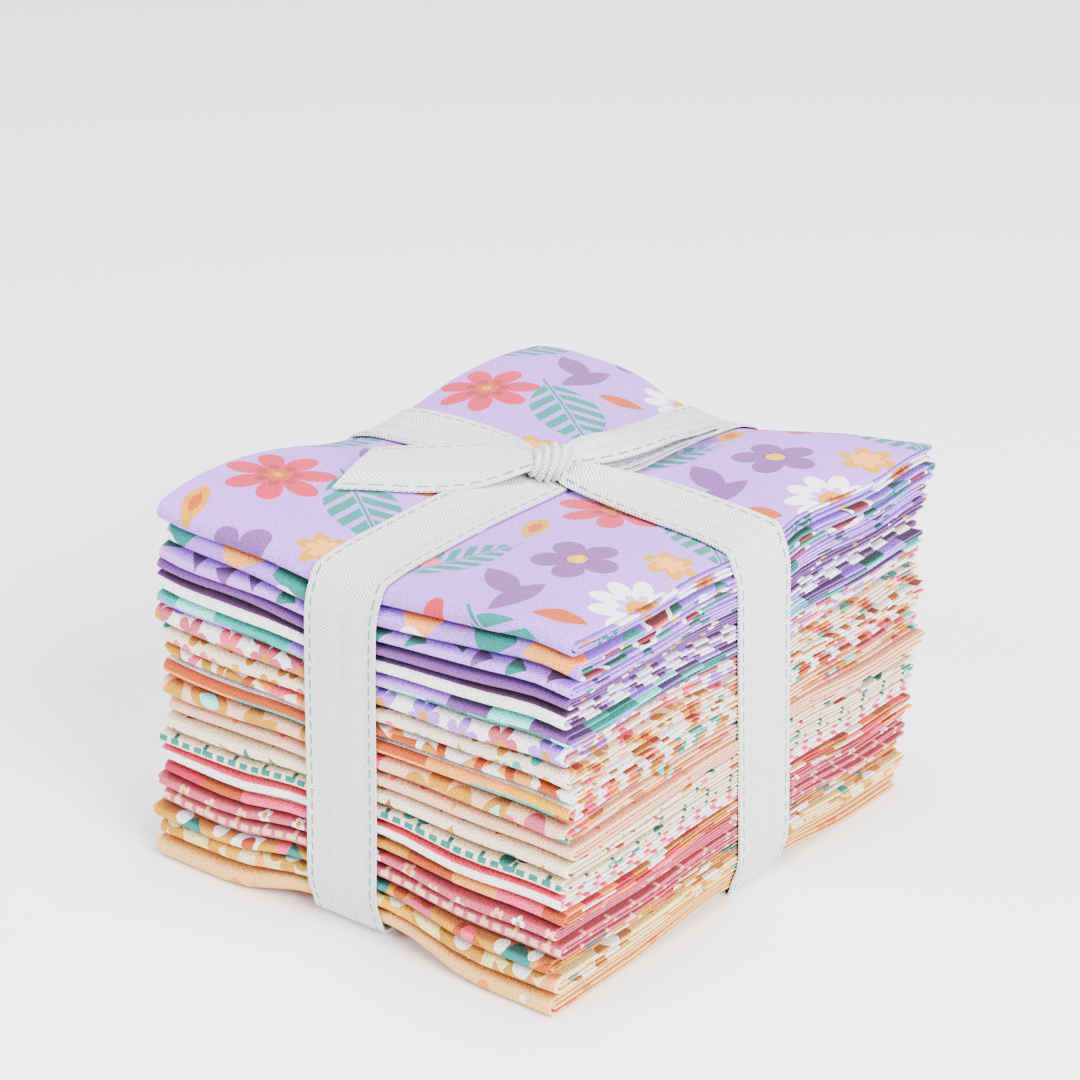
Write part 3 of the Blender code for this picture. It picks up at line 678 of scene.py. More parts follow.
class Board:
    """Adds nodes to one tree and links them, so that a pattern reads as a formula."""

    def __init__(self, tree):
        self.tree = tree

    def node(self, kind, **settings):
        node = self.tree.nodes.new(kind)
        for name, value in settings.items():
            setattr(node, name, value)
        return node

    def feed(self, socket, value):
        """Links a value or socket to a node's input, or sets the input to a plain number."""
        if isinstance(value, Value):
            value = value.socket
        if isinstance(value, bpy.types.NodeSocket):
            self.tree.links.new(value, socket)
        elif value is not None:
            socket.default_value = value

    def math(self, operation, *values):
        node = self.node("ShaderNodeMath", operation=operation)
        for socket, value in zip(node.inputs, values):
            self.feed(socket, value)
        return Value(self, node.outputs[0])

    def larger(self, first, second):
        return self.math("MAXIMUM", first, second)

    def vector(self, operation, first, second=None, scale=None):
        node = self.node("ShaderNodeVectorMath", operation=operation)
        self.feed(node.inputs[0], first)
        if second is not None:
            self.feed(node.inputs[1], second)
        if scale is not None:
            self.feed(node.inputs["Scale"], scale)
        return Value(self, node.outputs["Value" if operation == "LENGTH" else "Vector"])

    def split(self, vector):
        node = self.node("ShaderNodeSeparateXYZ")
        self.feed(node.inputs[0], vector)
        return Value(self, node.outputs[0]), Value(self, node.outputs[1])

    def join(self, x, y, z=0.0):
        node = self.node("ShaderNodeCombineXYZ")
        for socket, value in zip(node.inputs, (x, y, z)):
            self.feed(socket, value)
        return Value(self, node.outputs[0])

    def length(self, x, y):
        return self.vector("LENGTH", self.join(x, y))

    def turned(self, x, y, angle, size):
        """A point turned about the middle, in units of the size."""
        node = self.node("ShaderNodeVectorRotate", rotation_type="Z_AXIS")
        self.feed(node.inputs["Vector"], self.join(x, y))
        self.feed(node.inputs["Angle"], angle)
        return self.vector("SCALE", node.outputs[0], scale=self.math("DIVIDE", 1.0, size))

    def random(self, column, row, seed):
        """A random number and a random colour for a cell."""
        node = self.node("ShaderNodeTexWhiteNoise", noise_dimensions="3D")
        self.feed(node.inputs["Vector"], self.join(column, row, seed))
        return Value(self, node.outputs["Value"]), node.outputs["Color"]

    def clouds(self, position, scale, detail):
        """Soft noise, from 0 to 1."""
        node = self.node("ShaderNodeTexNoise", noise_dimensions="3D")
        self.feed(node.inputs["Vector"], position)
        self.feed(node.inputs["Scale"], scale)
        self.feed(node.inputs["Detail"], detail)
        return Value(self, node.outputs[0])

    def paint(self, under, over, mask):
        """The over colour where the mask is 1."""
        node = self.node("ShaderNodeMix", data_type="RGBA")
        self.feed(node.inputs[0], mask)
        self.feed(node.inputs[6], under)
        self.feed(node.inputs[7], over)
        return node.outputs[2]

    def pick(self, value, colours):
        """One of the colours, by a value from 0 to 1."""
        node = self.node("ShaderNodeValToRGB")
        self.feed(node.inputs[0], value)
        stops = node.color_ramp
        stops.interpolation = "CONSTANT"
        for index, colour in enumerate(colours):
            stop = stops.elements[index] if index < 2 else stops.elements.new(index / len(colours))
            stop.position = index / len(colours)
            stop.color = colour
        if len(colours) == 1:
            stops.elements[1].color = colours[0]
        return node.outputs[0]

    def use(self, group, **values):
        """Places a node group and feeds its inputs by their names."""
        node = self.node("ShaderNodeGroup", node_tree=bpy.data.node_groups[group])
        for label, value in values.items():
            self.feed(node.inputs[label.replace("_", " ").title()], value)
        return node.outputs


def effect(name, inputs, outputs):
    """A new node group with named sockets: its board, the values that come in and the sockets that go out."""
    tree = bpy.data.node_groups.new(name, "ShaderNodeTree")
    for label, kind, default in inputs:
        socket = tree.interface.new_socket(label, in_out="INPUT", socket_type=f"NodeSocket{kind}")
        if default is not None:
            socket.default_value = default
    for label, kind in outputs:
        tree.interface.new_socket(label, in_out="OUTPUT", socket_type=f"NodeSocket{kind}")
    board = Board(tree)
    coming_in = board.node("NodeGroupInput").outputs
    given = {label: Value(board, coming_in[label]) for label, _, _ in inputs}
    return board, given, board.node("NodeGroupOutput").inputs


# The small shapes of the prints: each is about 1 across from its middle and gives 1 inside, 0 outside.
def dot(board, x, y):
    return board.length(x, y) < 1.0


def capsule(board, x, y):
    return board.length(board.larger(abs(x) - 0.5, 0.0), y) < 0.5


def triangle(board, x, y):
    slope = board.math("MULTIPLY_ADD", abs(x), 0.866, y * 0.5)
    return board.larger(y * -1.0, slope) < 0.5


def diamond(board, x, y):
    return board.math("MULTIPLY_ADD", abs(x), 1.6, abs(y)) < 1.0


def bar(board, x, y):
    return (abs(x) < 1.0) * (abs(y) < 0.3)


def block(board, x, y):
    return board.larger(abs(x), abs(y) * 1.25) < 0.85


def leaf(board, x, y):
    return abs(y) < (1.0 - x * x) * 0.42


def blossom(board, x, y, petals, depth):
    swing = board.math("COSINE", board.math("ARCTAN2", y, x) * (petals * 0.5))
    petal = board.math("POWER", abs(swing), 0.7)
    return board.length(x, y) < 1.0 - depth * (1.0 - petal)


def sprig(board, x, y):
    """A stem with slanted leaves on both sides."""
    wide = abs(y)
    blade = board.math("FRACT", x * 3.2 - wide * 2.4) < 0.62
    leaves = blade * (wide < (1.0 - x * x) * 0.5) * (wide > 0.045)
    stem = (wide < 0.022) * (abs(x) < 1.15)
    return board.larger(leaves, stem)


def butterfly(board, x, y):
    upper = board.length((abs(x) - 0.48) / 0.46, (y - 0.3) / 0.4) < 1.0
    lower = board.length((abs(x) - 0.38) / 0.34, (y + 0.34) / 0.34) < 1.0
    return board.larger(upper, lower)


SHAPES = {
    "Dot": dot, "Capsule": capsule, "Triangle": triangle, "Diamond": diamond, "Bar": bar, "Block": block,
    "Leaf": leaf, "Blossom": blossom, "Sprig": sprig, "Butterfly": butterfly,
}
SHAPE_INPUTS = {"Blossom": (("Petals", "Float", 5.0), ("Depth", "Float", 0.55))}


def build_shapes():
    """A group for each printed shape: a point in the shape's own units in, a mask out."""
    for name, shape in SHAPES.items():
        extra = SHAPE_INPUTS.get(name, ())
        board, given, out = effect(name, (("Point", "Vector", None), *extra), (("Mask", "Float"),))
        x, y = board.split(given["Point"])
        board.feed(out["Mask"], shape(board, x, y, *(given[label] for label, _, _ in extra)))


def build_repeats():
    """The ways in which shapes repeat over the cloth."""
    board, given, out = effect(
        "Placed",
        (("Millimetres", "Vector", None), ("Tile X", "Float", 60.0), ("Tile Y", "Float", 60.0),
         ("Drop", "Float", 0.5), ("At X", "Float", 0.0), ("At Y", "Float", 0.0), ("Turn", "Float", 0.0),
         ("Size", "Float", 5.0)),
        (("Point", "Vector"),),
    )
    x, y = board.split(given["Millimetres"])
    across = (x - given["At X"]) / given["Tile X"]
    column = board.math("ROUND", across)
    down = (y - given["At Y"]) / given["Tile Y"] - column * given["Drop"]
    local_x = (across - column) * given["Tile X"]
    local_y = (down - board.math("ROUND", down)) * given["Tile Y"]
    board.feed(out["Point"], board.turned(local_x, local_y, given["Turn"], given["Size"]))

    board, given, out = effect(
        "Scattered",
        (("Millimetres", "Vector", None), ("Pitch", "Float", 10.0), ("Size", "Float", 2.0),
         ("Jitter", "Float", 1.0), ("Seed", "Float", 0.0), ("Whirl", "Float", 6.283)),
        (("Point", "Vector"), ("Pick", "Float")),
    )
    x, y = board.split(board.vector("SCALE", given["Millimetres"], scale=1.0 / given["Pitch"]))
    y = y + given["Seed"]
    row = board.math("FLOOR", y)
    x = x + row * 0.5 + given["Seed"] * 0.37
    column = board.math("FLOOR", x)
    turn, stray = board.random(column, row, given["Seed"])
    local = board.vector("SCALE", board.join(x - column - 0.5, y - row - 0.5), scale=given["Pitch"])
    stray = board.vector("SUBTRACT", stray, (0.5, 0.5, 0.5))
    local = board.vector("ADD", local, board.vector("SCALE", stray, scale=given["Jitter"] * 2.0))
    local_x, local_y = board.split(local)
    board.feed(out["Point"], board.turned(local_x, local_y, turn * given["Whirl"], given["Size"]))
    board.feed(out["Pick"], board.random(column, row, given["Seed"] + 7.3)[0])

    board, given, out = effect(
        "Colour Blocks",
        (("Millimetres", "Vector", None), ("Wide", "Float", 14.0), ("Tall", "Float", 7.0),
         ("Seed", "Float", 0.0)),
        (("Pick", "Float"),),
    )
    x, y = board.split(given["Millimetres"])
    row = board.math("FLOOR", y / given["Tall"])
    slid = board.math("MULTIPLY_ADD", row, 0.5, x / given["Wide"])
    board.feed(out["Pick"], board.random(board.math("FLOOR", slid), row, given["Seed"])[0])

    board, given, out = effect(
        "Stripes",
        (("Millimetres", "Vector", None), ("Period", "Float", 10.0), ("Share", "Float", 0.5),
         ("Start", "Float", 0.0)),
        (("Mask", "Float"),),
    )
    y = board.split(given["Millimetres"])[1]
    board.feed(out["Mask"], board.math("FRACT", (y + given["Start"]) / given["Period"]) < given["Share"])

    board, given, out = effect(
        "Dash Rows",
        (("Millimetres", "Vector", None), ("Spacing", "Float", 9.0), ("Dash", "Float", 3.4),
         ("Share", "Float", 0.65), ("Width", "Float", 0.55)),
        (("Mask", "Float"),),
    )
    x, y = board.split(given["Millimetres"])
    masks = []
    for line, run in ((y, x), (x, y)):
        place = board.math("FRACT", line / given["Spacing"]) - 0.5
        near = abs(place * given["Spacing"]) < given["Width"]
        masks.append(near * (board.math("FRACT", run / given["Dash"]) < given["Share"]))
    board.feed(out["Mask"], board.larger(*masks))


# The ribbon's twill in millimetres: its rib, where the rib turns back, its fine cross ribs, its selvedge, and
# its sewn thread's distance from the edge, half width, stitch length and the share of it that shows.
TWILL_RIB, TWILL_TURN, CROSS_RIB, SELVEDGE = 1.0, 3.25, 0.42, 0.5
THREAD_INSET, THREAD_HALF, STITCH, STITCH_SHARE = 1.5, 0.26, 3.7, 0.66


def build_finishes():
    """The weave of the cottons and the twill of the ribbon."""
    board, given, out = effect(
        "Cotton Weave",
        (("Colour", "Color", (1, 1, 1, 1)), ("Millimetres", "Vector", None), ("Pitch", "Float", 0.34)),
        (("Colour", "Color"), ("Height", "Float"), ("Roughness", "Float")),
    )
    x, y = board.split(given["Millimetres"])
    threads = [board.math("SINE", along / given["Pitch"] * math.pi) for along in (x, y)]
    weave = threads[0] * threads[1]
    slub = board.clouds(board.vector("MULTIPLY", given["Millimetres"], (2.0, 3.0, 1.0)), 1.0, 3.0)
    wash = board.clouds(given["Millimetres"], 0.05, 2.0)
    grain = board.math("MULTIPLY_ADD", weave, 0.16, slub * 2.1)
    shade = grain - 0.16 + wash * 0.10
    shade = board.math("MINIMUM", board.larger(shade, 0.5), 1.08)
    board.feed(out["Colour"], board.vector("SCALE", given["Colour"], scale=shade))
    board.feed(out["Height"], board.math("MULTIPLY_ADD", weave, 0.5, slub * 0.9))
    board.feed(out["Roughness"], board.math("MULTIPLY_ADD", slub, 0.12, 0.82))

    board, given, out = effect(
        "Twill Tape",
        (("Millimetres", "Vector", None), ("White", "Color", (0.9, 0.91, 0.92, 1)),
         ("Thread", "Color", (0.1, 0.5, 0.47, 1)), ("Width", "Float", RIBBON_WIDTH)),
        (("Colour", "Color"), ("Height", "Float")),
    )
    x, y = board.split(given["Millimetres"])
    twill = board.math("SINE", (y + board.math("PINGPONG", x, TWILL_TURN)) * (2 * math.pi / TWILL_RIB))
    fine = board.math("SINE", x * (2 * math.pi / CROSS_RIB))
    from_edge = board.math("MINIMUM", x, given["Width"] - x)
    thread = (abs(from_edge - THREAD_INSET) < THREAD_HALF) * (board.math("FRACT", y / STITCH) < STITCH_SHARE)
    selvedge = from_edge < SELVEDGE
    tone = board.math("MULTIPLY_ADD", twill, 0.26, 0.79) - selvedge * 0.03
    white = board.vector("SCALE", given["White"], scale=tone)
    board.feed(out["Colour"], board.paint(white, given["Thread"], thread * 0.85))
    height = board.math("MULTIPLY_ADD", twill, 0.6, fine * 0.25) + thread * 0.9 + selvedge * 0.8
    board.feed(out["Height"], height)


LILAC, PALE_LILAC, PURPLE, PLUM = tint("B07CE8"), tint("C690F6"), tint("76428E"), tint("6E3474")
CORAL, RED, ROSE, PINK = tint("C6123E"), tint("981C32"), tint("CA566E"), tint("F5507E")
ORANGE, PEACH, MUSTARD, BUTTER = tint("B84C00"), tint("F9A048"), tint("CA8C00"), tint("E4A808")
TEAL, AQUA, MINT = tint("017C74"), tint("0AB0A6"), tint("84F2E8")
WHITE, CREAM, BLUSH, SAND = tint("F8F7F6"), tint("F6E4CA"), tint("F4C2A2"), tint("F0BA6C")

# A layer of one scattered shape: its spacing, size and stray in millimetres, its random seed, the colours that
# it takes by turns, the colour and size of a smaller copy on top, and for a blossom its petals.
Layer = namedtuple("Layer", "shape pitch size jitter seed colours heart heart_size petals",
                   defaults=(None, 0.4, 5))
# A motif at its own place in a repeating tile.
Motif = namedtuple("Motif", "shape x y turn size colour heart heart_size petals depth",
                   defaults=(None, 0.35, 5, 0.55))

MEADOW_TILE = (66.0, 74.0)
MEADOW = (
    Motif("Sprig", 36, 17, 35, 17, TEAL),
    Motif("Sprig", 4, 46, -60, 13, TEAL),
    Motif("Leaf", 27, 36, 100, 8, PURPLE),
    Motif("Leaf", 20, 40, 30, 8, PURPLE),
    Motif("Blossom", 13, 15, 10, 13, CORAL, RED, 0.45, 7, 0.62),
    Motif("Blossom", 13, 15, 10, 3.4, ORANGE, MUSTARD, 0.4, 6, 0.3),
    Motif("Blossom", 49, 49, 20, 11.5, WHITE, PALE_LILAC, 0.5, 10, 0.42),
    Motif("Dot", 49, 49, 0, 3.6, MUSTARD, ORANGE, 0.45),
    Motif("Blossom", 26, 58, 0, 10, PURPLE, PLUM, 0.3, 5, 0.5),
    Motif("Dot", 26, 58, 0, 2.2, BUTTER),
    Motif("Butterfly", 57, 24, 25, 7, WHITE, PEACH, 0.55),
    Motif("Bar", 57, 24, 115, 3.6, ORANGE),
    Motif("Blossom", 60, 5, 0, 7, PINK, CORAL, 0.55, 5, 0.45),
    Motif("Dot", 60, 5, 0, 1.8, MUSTARD),
    Motif("Leaf", 40, 33, 160, 6, ORANGE),
    Motif("Leaf", 7, 68, 70, 7, MUSTARD, ORANGE, 0.5),
    Motif("Blossom", 42, 70, 45, 6.5, MUSTARD, PEACH, 0.6, 6, 0.5),
)


def layer_over(board, position, colour, layer):
    """Prints one scattered layer over a colour."""
    spread = board.use("Scattered", millimetres=position, pitch=layer.pitch, size=layer.size,
                       jitter=layer.jitter, seed=layer.seed)
    extra = {"petals": float(layer.petals)} if layer.shape == "Blossom" else {}
    mask = board.use(layer.shape, point=spread["Point"], **extra)["Mask"]
    colour = board.paint(colour, board.pick(spread["Pick"], layer.colours), mask)
    if layer.heart:
        smaller = board.vector("SCALE", spread["Point"], scale=1 / layer.heart_size)
        heart_shape = "Dot" if layer.shape == "Blossom" else layer.shape
        colour = board.paint(colour, layer.heart, board.use(heart_shape, point=smaller)["Mask"])
    return colour


def scattered_print(ground, *layers):
    """A print of scattered shapes on a ground."""
    def colour_of(board, position):
        colour = ground
        for layer in layers:
            colour = layer_over(board, position, colour, layer)
        return colour
    return colour_of


def meadow_print(board, position):
    """Large blossoms, sprigs and butterflies in a repeating tile."""
    colour = LILAC
    for motif in MEADOW:
        point = board.use("Placed", millimetres=position, tile_x=MEADOW_TILE[0], tile_y=MEADOW_TILE[1],
                          at_x=motif.x, at_y=motif.y, turn=math.radians(motif.turn), size=motif.size)["Point"]
        extra = {"petals": float(motif.petals), "depth": motif.depth} if motif.shape == "Blossom" else {}
        colour = board.paint(colour, motif.colour, board.use(motif.shape, point=point, **extra)["Mask"])
        if motif.heart:
            smaller = board.vector("SCALE", point, scale=1 / motif.heart_size)
            colour = board.paint(colour, motif.heart, board.use(motif.shape, point=smaller, **extra)["Mask"])
    return colour


def block_print(colours, wide, tall, seed):
    """Blocks of colour in rows, each row half a block further on."""
    def colour_of(board, position):
        cell = board.use("Colour Blocks", millimetres=position, wide=wide, tall=tall, seed=seed)
        return board.pick(cell["Pick"], colours)
    return colour_of


def striped_print(ground, colours, period, share, start, wide=0, seed=0):
    """Stripes of one colour, or of several that change along their way at each block's width."""
    def colour_of(board, position):
        ink = block_print(colours, wide, period, seed)(board, position) if len(colours) > 1 else colours[0]
        stripes = board.use("Stripes", millimetres=position, period=period, share=share, start=start)
        return board.paint(ground, ink, stripes["Mask"])
    return colour_of


def dashed_print(ground, thread, spacing, *layers):
    """Crossing rows of dashes, with scattered shapes over them."""
    def colour_of(board, position):
        dashes = board.use("Dash Rows", millimetres=position, spacing=spacing)
        return scattered_print(board.paint(ground, thread, dashes["Mask"]), *layers)(board, position)
    return colour_of


PRINTS = {
    "cotton_01": meadow_print,
    "cotton_02": scattered_print(
        LILAC,
        Layer("Block", 17, 6.5, 1.5, 0.3, (TEAL, PEACH, AQUA, TEAL)),
        Layer("Capsule", 19, 7.5, 1.5, 1.7, (WHITE,), RED, 0.74)),
    "cotton_03": scattered_print(PALE_LILAC, Layer("Triangle", 9, 3.2, 1.5, 2.1, (TEAL, PURPLE, TEAL))),
    "cotton_04": scattered_print(PURPLE, Layer("Diamond", 7, 1.7, 0.8, 3.4, (BUTTER, WHITE))),
    "cotton_05": striped_print(WHITE, (PLUM, LILAC, PLUM, PURPLE, LILAC), 10.0, 0.5, 2.5, wide=34, seed=25.0),
    "cotton_06": block_print((TEAL, PALE_LILAC, AQUA, PURPLE, LILAC, MINT), 11, 8, 5.0),
    "cotton_07": scattered_print(
        WHITE,
        Layer("Dot", 11, 3.2, 2.0, 5.5, (PINK, LILAC, ROSE)),
        Layer("Blossom", 11, 4.6, 1.0, 4.2, (ROSE, LILAC, PINK), MUSTARD, 0.3, 6)),
    "cotton_08": scattered_print(
        CREAM,
        Layer("Blossom", 8.6, 3.8, 1.0, 6.1, (BUTTER, PINK, MUSTARD, AQUA), ORANGE, 0.35, 5),
        Layer("Leaf", 9, 2.6, 1.5, 7.7, (AQUA, PEACH, MUSTARD))),
    "cotton_09": scattered_print(
        WHITE,
        Layer("Bar", 9.5, 4.6, 1.0, 8.2, (MUSTARD, ORANGE, MUSTARD, PEACH)),
        Layer("Bar", 9, 3.6, 1.5, 9.4, (MUSTARD, PINK, ORANGE))),
    "cotton_10": striped_print(
        WHITE, (ORANGE, PEACH, PINK, ORANGE, AQUA, BUTTER), 8.0, 0.62, 3.0, wide=22, seed=26.0),
    "cotton_11": scattered_print(
        BLUSH,
        Layer("Blossom", 25, 10, 2.0, 10.3, (MUSTARD, ROSE, MUSTARD), PEACH, 0.45, 6),
        Layer("Leaf", 17, 7, 3.0, 11.6, (TEAL, PINK, MUSTARD), MINT, 0.5)),
    "cotton_12": scattered_print(BLUSH, Layer("Dot", 8, 0.7, 1.5, 12.2, (PEACH, PINK))),
    "cotton_13": scattered_print(CREAM, Layer("Triangle", 8.0, 2.9, 1.0, 13.8, (ORANGE, TEAL, MUSTARD, PINK))),
    "cotton_14": dashed_print(
        CREAM, TEAL, 8.8, Layer("Blossom", 26, 4.5, 2.0, 14.1, (TEAL, AQUA), CREAM, 0.35, 4)),
    "cotton_15": striped_print(WHITE, (PINK,), 6.0, 0.32, 1.0),
    "cotton_16": block_print((ORANGE, PEACH, MUSTARD, PINK, WHITE, CORAL), 12, 6, 16.0),
    "cotton_17": scattered_print(ROSE, Layer("Blossom", 8, 1.9, 1.5, 17.5, (WHITE, BLUSH), MUSTARD, 0.35, 5)),
    "cotton_18": dashed_print(ROSE, BLUSH, 8.8),
    "cotton_19": scattered_print(
        tint("CE9400"),
        Layer("Block", 13, 5.4, 1.5, 19.2, (ROSE, ORANGE, TEAL, WHITE)),
        Layer("Dot", 10, 1.8, 2.0, 20.8, (WHITE, PINK, ORANGE))),
    "cotton_20": scattered_print(
        tint("F8E09C"),
        Layer("Leaf", 14, 4.2, 2.0, 22.9, (MUSTARD, AQUA, PEACH)),
        Layer("Blossom", 17, 6.5, 2.0, 21.3, (MUSTARD, BUTTER), WHITE, 0.4, 5)),
    "cotton_21": scattered_print(
        SAND,
        Layer("Blossom", 24, 6, 2.0, 23.1, (PEACH, tint("E88438")), ORANGE, 0.3, 5),
        Layer("Dot", 15, 0.9, 2.0, 24.5, (WHITE, PEACH))),
}


def new_material(name, roughness):
    """A soft, matt material: itself, its board and its shader."""
    material = bpy.data.materials.new(name)
    material.use_nodes = True
    material.node_tree.nodes.clear()
    board = Board(material.node_tree)
    shader = board.node("ShaderNodeBsdfPrincipled")
    leaving = board.node("ShaderNodeOutputMaterial")
    board.feed(leaving.inputs[0], shader.outputs[0])
    shader.inputs["Roughness"].default_value = roughness
    shader.inputs["Specular IOR Level"].default_value = 0.25
    shader.inputs["Sheen Weight"].default_value = 0.12
    shader.inputs["Sheen Roughness"].default_value = 0.5
    return material, board, shader


def place_on_cloth(board, width, length):
    """The place on a flat sheet, in millimetres."""
    flat = board.node("ShaderNodeUVMap", uv_map="Cloth")
    return board.vector("MULTIPLY", flat.outputs[0], (width, length, 0))


def add_bump(board, shader, height, strength, distance):
    bump = board.node("ShaderNodeBump")
    board.feed(bump.inputs["Strength"], strength)
    board.feed(bump.inputs["Distance"], distance)
    board.feed(bump.inputs["Height"], height)
    board.feed(shader.inputs["Normal"], bump.outputs[0])


def cotton_material(slot):
    """A printed cotton: its print and weave follow the cloth round its folds."""
    material, board, shader = new_material(slot, 0.88)
    position = place_on_cloth(board, FLAT_WIDTH, FLAT_LENGTH)
    finish = board.use("Cotton Weave", colour=PRINTS[slot](board, position), millimetres=position)
    # Painted shade: where a fold turns in, the colour is squared and darkened, standing in for the shadow between
    # the cloths.
    tuck = board.node("ShaderNodeAttribute", attribute_name="tuck")
    painted_shade_colour = board.vector("MULTIPLY", finish["Colour"], finish["Colour"])
    painted_shade_colour = board.vector("SCALE", painted_shade_colour, scale=FOLD_SHADE_SCALE)
    board.feed(shader.inputs["Base Color"], board.paint(finish["Colour"], painted_shade_colour, tuck.outputs["Fac"]))
    board.feed(shader.inputs["Roughness"], finish["Roughness"])
    add_bump(board, shader, finish["Height"], 0.6, 0.0002)
    return material


def cut_edge_material():
    """The pale, slightly frayed threads of a cut edge."""
    material, board, shader = new_material("cut_edge", 0.95)
    position = place_on_cloth(board, FLAT_WIDTH, FLAT_LENGTH)
    finish = board.use("Cotton Weave", colour=tint("F4EEE8"), millimetres=position)
    board.feed(shader.inputs["Base Color"], finish["Colour"])
    return material


def twill_material():
    """White twill tape with a dashed aqua thread along both edges."""
    material, board, shader = new_material("twill", 0.62)
    position = place_on_cloth(board, RIBBON_WIDTH, RIBBON_UV_LENGTH)
    looks = bpy.context.scene.cloth_stack
    tape = board.use("Twill Tape", millimetres=position, white=(*looks.ribbon_colour, 1),
                     thread=(*looks.thread_colour, 1))
    board.feed(shader.inputs["Base Color"], tape["Colour"])
    add_bump(board, shader, tape["Height"], 0.8, 0.0003)
    shader.inputs["Sheen Weight"].default_value = 0.2
    return material


class ClothStackSettings(bpy.types.PropertyGroup):
    """What a user would change in the stack's looks."""

    ribbon_colour: bpy.props.FloatVectorProperty(
        name="Ribbon", description="Colour of the twill ribbon",
        subtype="COLOR", size=3, default=tint("FCFDFE")[:3], min=0, max=1)
    thread_colour: bpy.props.FloatVectorProperty(
        name="Ribbon thread", description="Colour of the dashed thread along the ribbon's edges",
        subtype="COLOR", size=3, default=tint("0A868A")[:3], min=0, max=1)
    floor_colour: bpy.props.FloatVectorProperty(
        name="Floor", description="Colour of the floor",
        subtype="COLOR", size=3, default=(0.96, 0.96, 0.96), min=0, max=1)
    light_strength: bpy.props.FloatProperty(
        name="Light", description="Strength of the main light",
        subtype="POWER", unit="POWER", default=78.0, min=0)


class CLOTHSTACK_OT_prepare(bpy.types.Operator):
    """Builds the node groups that the prints and weaves use"""

    bl_idname = "clothstack.prepare"
    bl_label = "Prepare Prints"

    def execute(self, context):
        build_shapes()
        build_repeats()
        build_finishes()
        return {"FINISHED"}


class CLOTHSTACK_OT_quarters(bpy.types.Operator):
    """Folds the printed cottons and stacks them"""

    bl_idname = "clothstack.quarters"
    bl_label = "Fold Cottons"

    def execute(self, context):
        edge = cut_edge_material()
        base = STACK_HEIGHT
        for number, quarter in enumerate(QUARTERS, start=1):
            base -= quarter.thick
            lay_quarter(number, quarter, base, [cotton_material(quarter.slot), edge])
            base -= PIECE_GAP
        return {"FINISHED"}


class CLOTHSTACK_OT_ribbon(bpy.types.Operator):
    """Ties the ribbon: two bands, the knot, the loop and the tail"""

    bl_idname = "clothstack.ribbon"
    bl_label = "Tie Ribbon"

    def execute(self, context):
        material = twill_material()
        make_long_band(material)
        make_cross_band(material)
        make_loop(material)
        make_tail(material)
        make_knot(material)
        return {"FINISHED"}


# The camera, solved from the photographed corners: place in metres, turn, tilt and roll in degrees.
CAMERA_PLACE = Vector((0.4267, -0.5599, 0.3787))
CAMERA_TURN, CAMERA_TILT, CAMERA_ROLL = 37.45, 23.549, 0.81
CAMERA_LENS, CAMERA_SENSOR = 113.35, 36.0


def add_camera():
    """The camera, at the photograph's angle."""
    turn, tilt, roll = (math.radians(value) for value in (CAMERA_TURN, CAMERA_TILT, CAMERA_ROLL))
    right = Vector((math.cos(turn), math.sin(turn), 0))
    forward = Vector((-math.sin(turn) * math.cos(tilt), math.cos(turn) * math.cos(tilt), -math.sin(tilt)))
    up = right.cross(forward)
    rolled_right = (right * math.cos(roll) + up * math.sin(roll)).normalized()
    rolled_up = (up * math.cos(roll) - right * math.sin(roll)).normalized()
    bpy.ops.object.camera_add()
    camera = bpy.context.object
    camera.name = "camera"
    axes = Matrix((rolled_right, rolled_up, -forward)).transposed()
    camera.matrix_world = Matrix.Translation(CAMERA_PLACE) @ axes.to_4x4()
    camera.data.lens = CAMERA_LENS
    camera.data.sensor_width = CAMERA_SENSOR
    camera.data.clip_start, camera.data.clip_end = 0.01, 50
    bpy.context.scene.camera = camera


# Soft lights: place and size in metres, strength as a share of the main light.
Lamp = namedtuple("Lamp", "name place size share")
LAMPS = (
    Lamp("key_light", (1.4, -0.5, 1.0), 0.9, 1.3),
    Lamp("top_light", (0.1, 0.1, 1.9), 0.9, 1.0),
    Lamp("left_light", (-0.7, -1.3, 0.9), 0.8, 0.34),
)


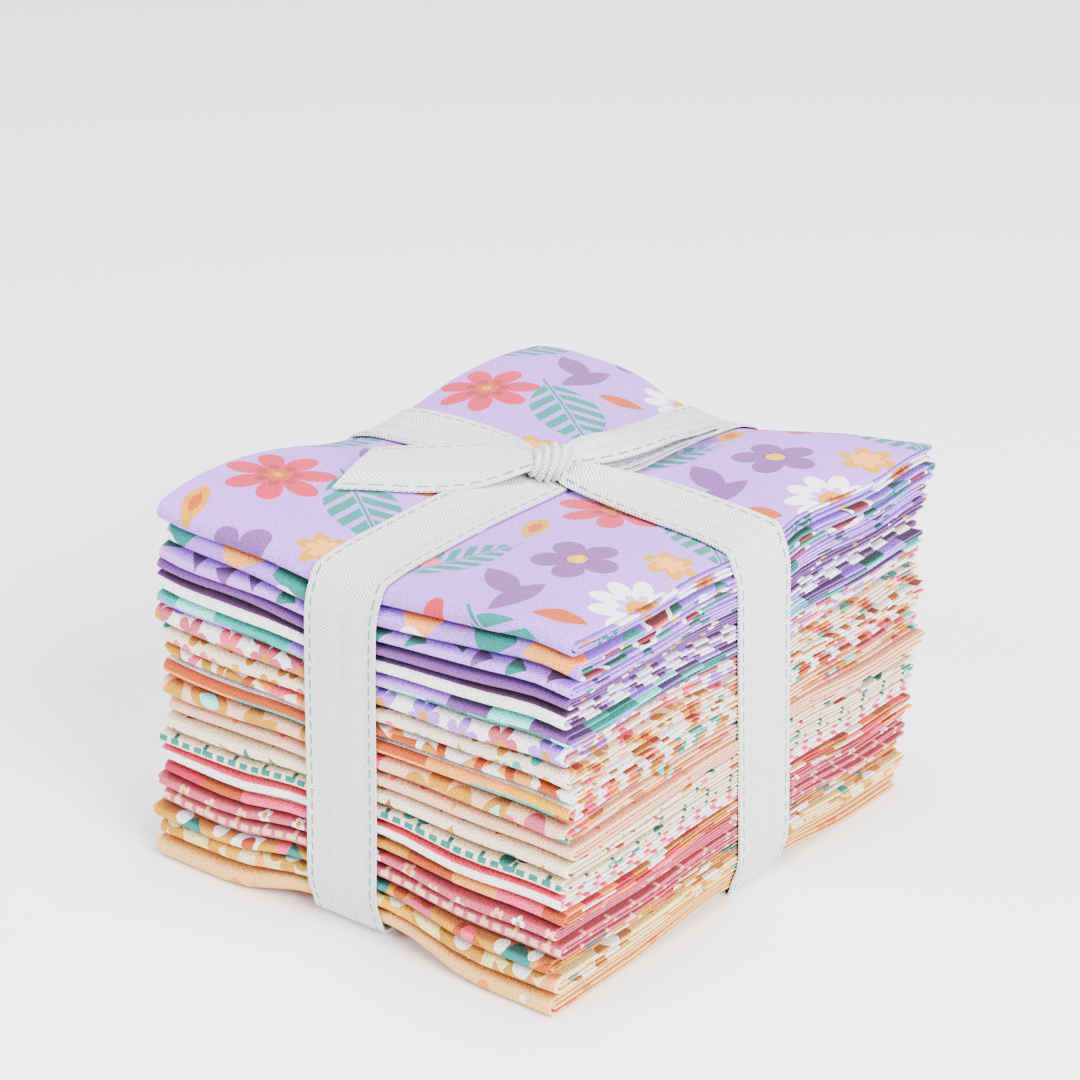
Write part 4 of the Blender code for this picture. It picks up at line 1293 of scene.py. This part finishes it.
class CLOTHSTACK_OT_stage(bpy.types.Operator):
    """Adds the floor, the lights and the camera"""

    bl_idname = "clothstack.stage"
    bl_label = "Set Stage"

    def execute(self, context):
        looks = context.scene.cloth_stack
        deselect()
        bpy.ops.mesh.primitive_plane_add(size=8)
        floor = context.object
        floor.name = "floor"
        material, board, shader = new_material("floor", 0.9)
        shader.inputs["Base Color"].default_value = (*looks.floor_colour, 1)
        floor.data.materials.append(material)
        world = bpy.data.worlds.new("studio")
        world.use_nodes = True
        world.node_tree.nodes["Background"].inputs[0].default_value = (1, 1, 1, 1)
        world.node_tree.nodes["Background"].inputs[1].default_value = 0.3
        context.scene.world = world
        for lamp in LAMPS:
            bpy.ops.object.light_add(type="AREA", location=lamp.place)
            light = context.object
            light.name = lamp.name
            aim = Vector((0, 0, 0.05)) - Vector(lamp.place)
            light.rotation_euler = aim.to_track_quat("-Z", "Y").to_euler()
            light.data.size = lamp.size
            light.data.energy = looks.light_strength * lamp.share
        add_camera()
        return {"FINISHED"}


class CLOTHSTACK_PT_panel(bpy.types.Panel):
    """Lists the steps that build the stack"""

    bl_label = "Cloth Stack"
    bl_idname = "CLOTHSTACK_PT_panel"
    bl_space_type = "VIEW_3D"
    bl_region_type = "UI"
    bl_category = "Cloth Stack"

    def draw(self, context):
        looks = context.scene.cloth_stack
        for name in ("ribbon_colour", "thread_colour", "floor_colour", "light_strength"):
            self.layout.prop(looks, name)
        for step in STEPS:
            self.layout.operator(f"clothstack.{step}")


STEPS = ("prepare", "quarters", "ribbon", "stage")
CLASSES = (
    ClothStackSettings,
    CLOTHSTACK_OT_prepare,
    CLOTHSTACK_OT_quarters,
    CLOTHSTACK_OT_ribbon,
    CLOTHSTACK_OT_stage,
    CLOTHSTACK_PT_panel,
)


def register():
    for each in CLASSES:
        bpy.utils.register_class(each)
    bpy.types.Scene.cloth_stack = bpy.props.PointerProperty(type=ClothStackSettings)


def unregister():
    del bpy.types.Scene.cloth_stack
    for each in reversed(CLASSES):
        bpy.utils.unregister_class(each)


def main():
    register()
    for step in STEPS:
        getattr(bpy.ops.clothstack, step)()


if __name__ == "__main__":
    main()
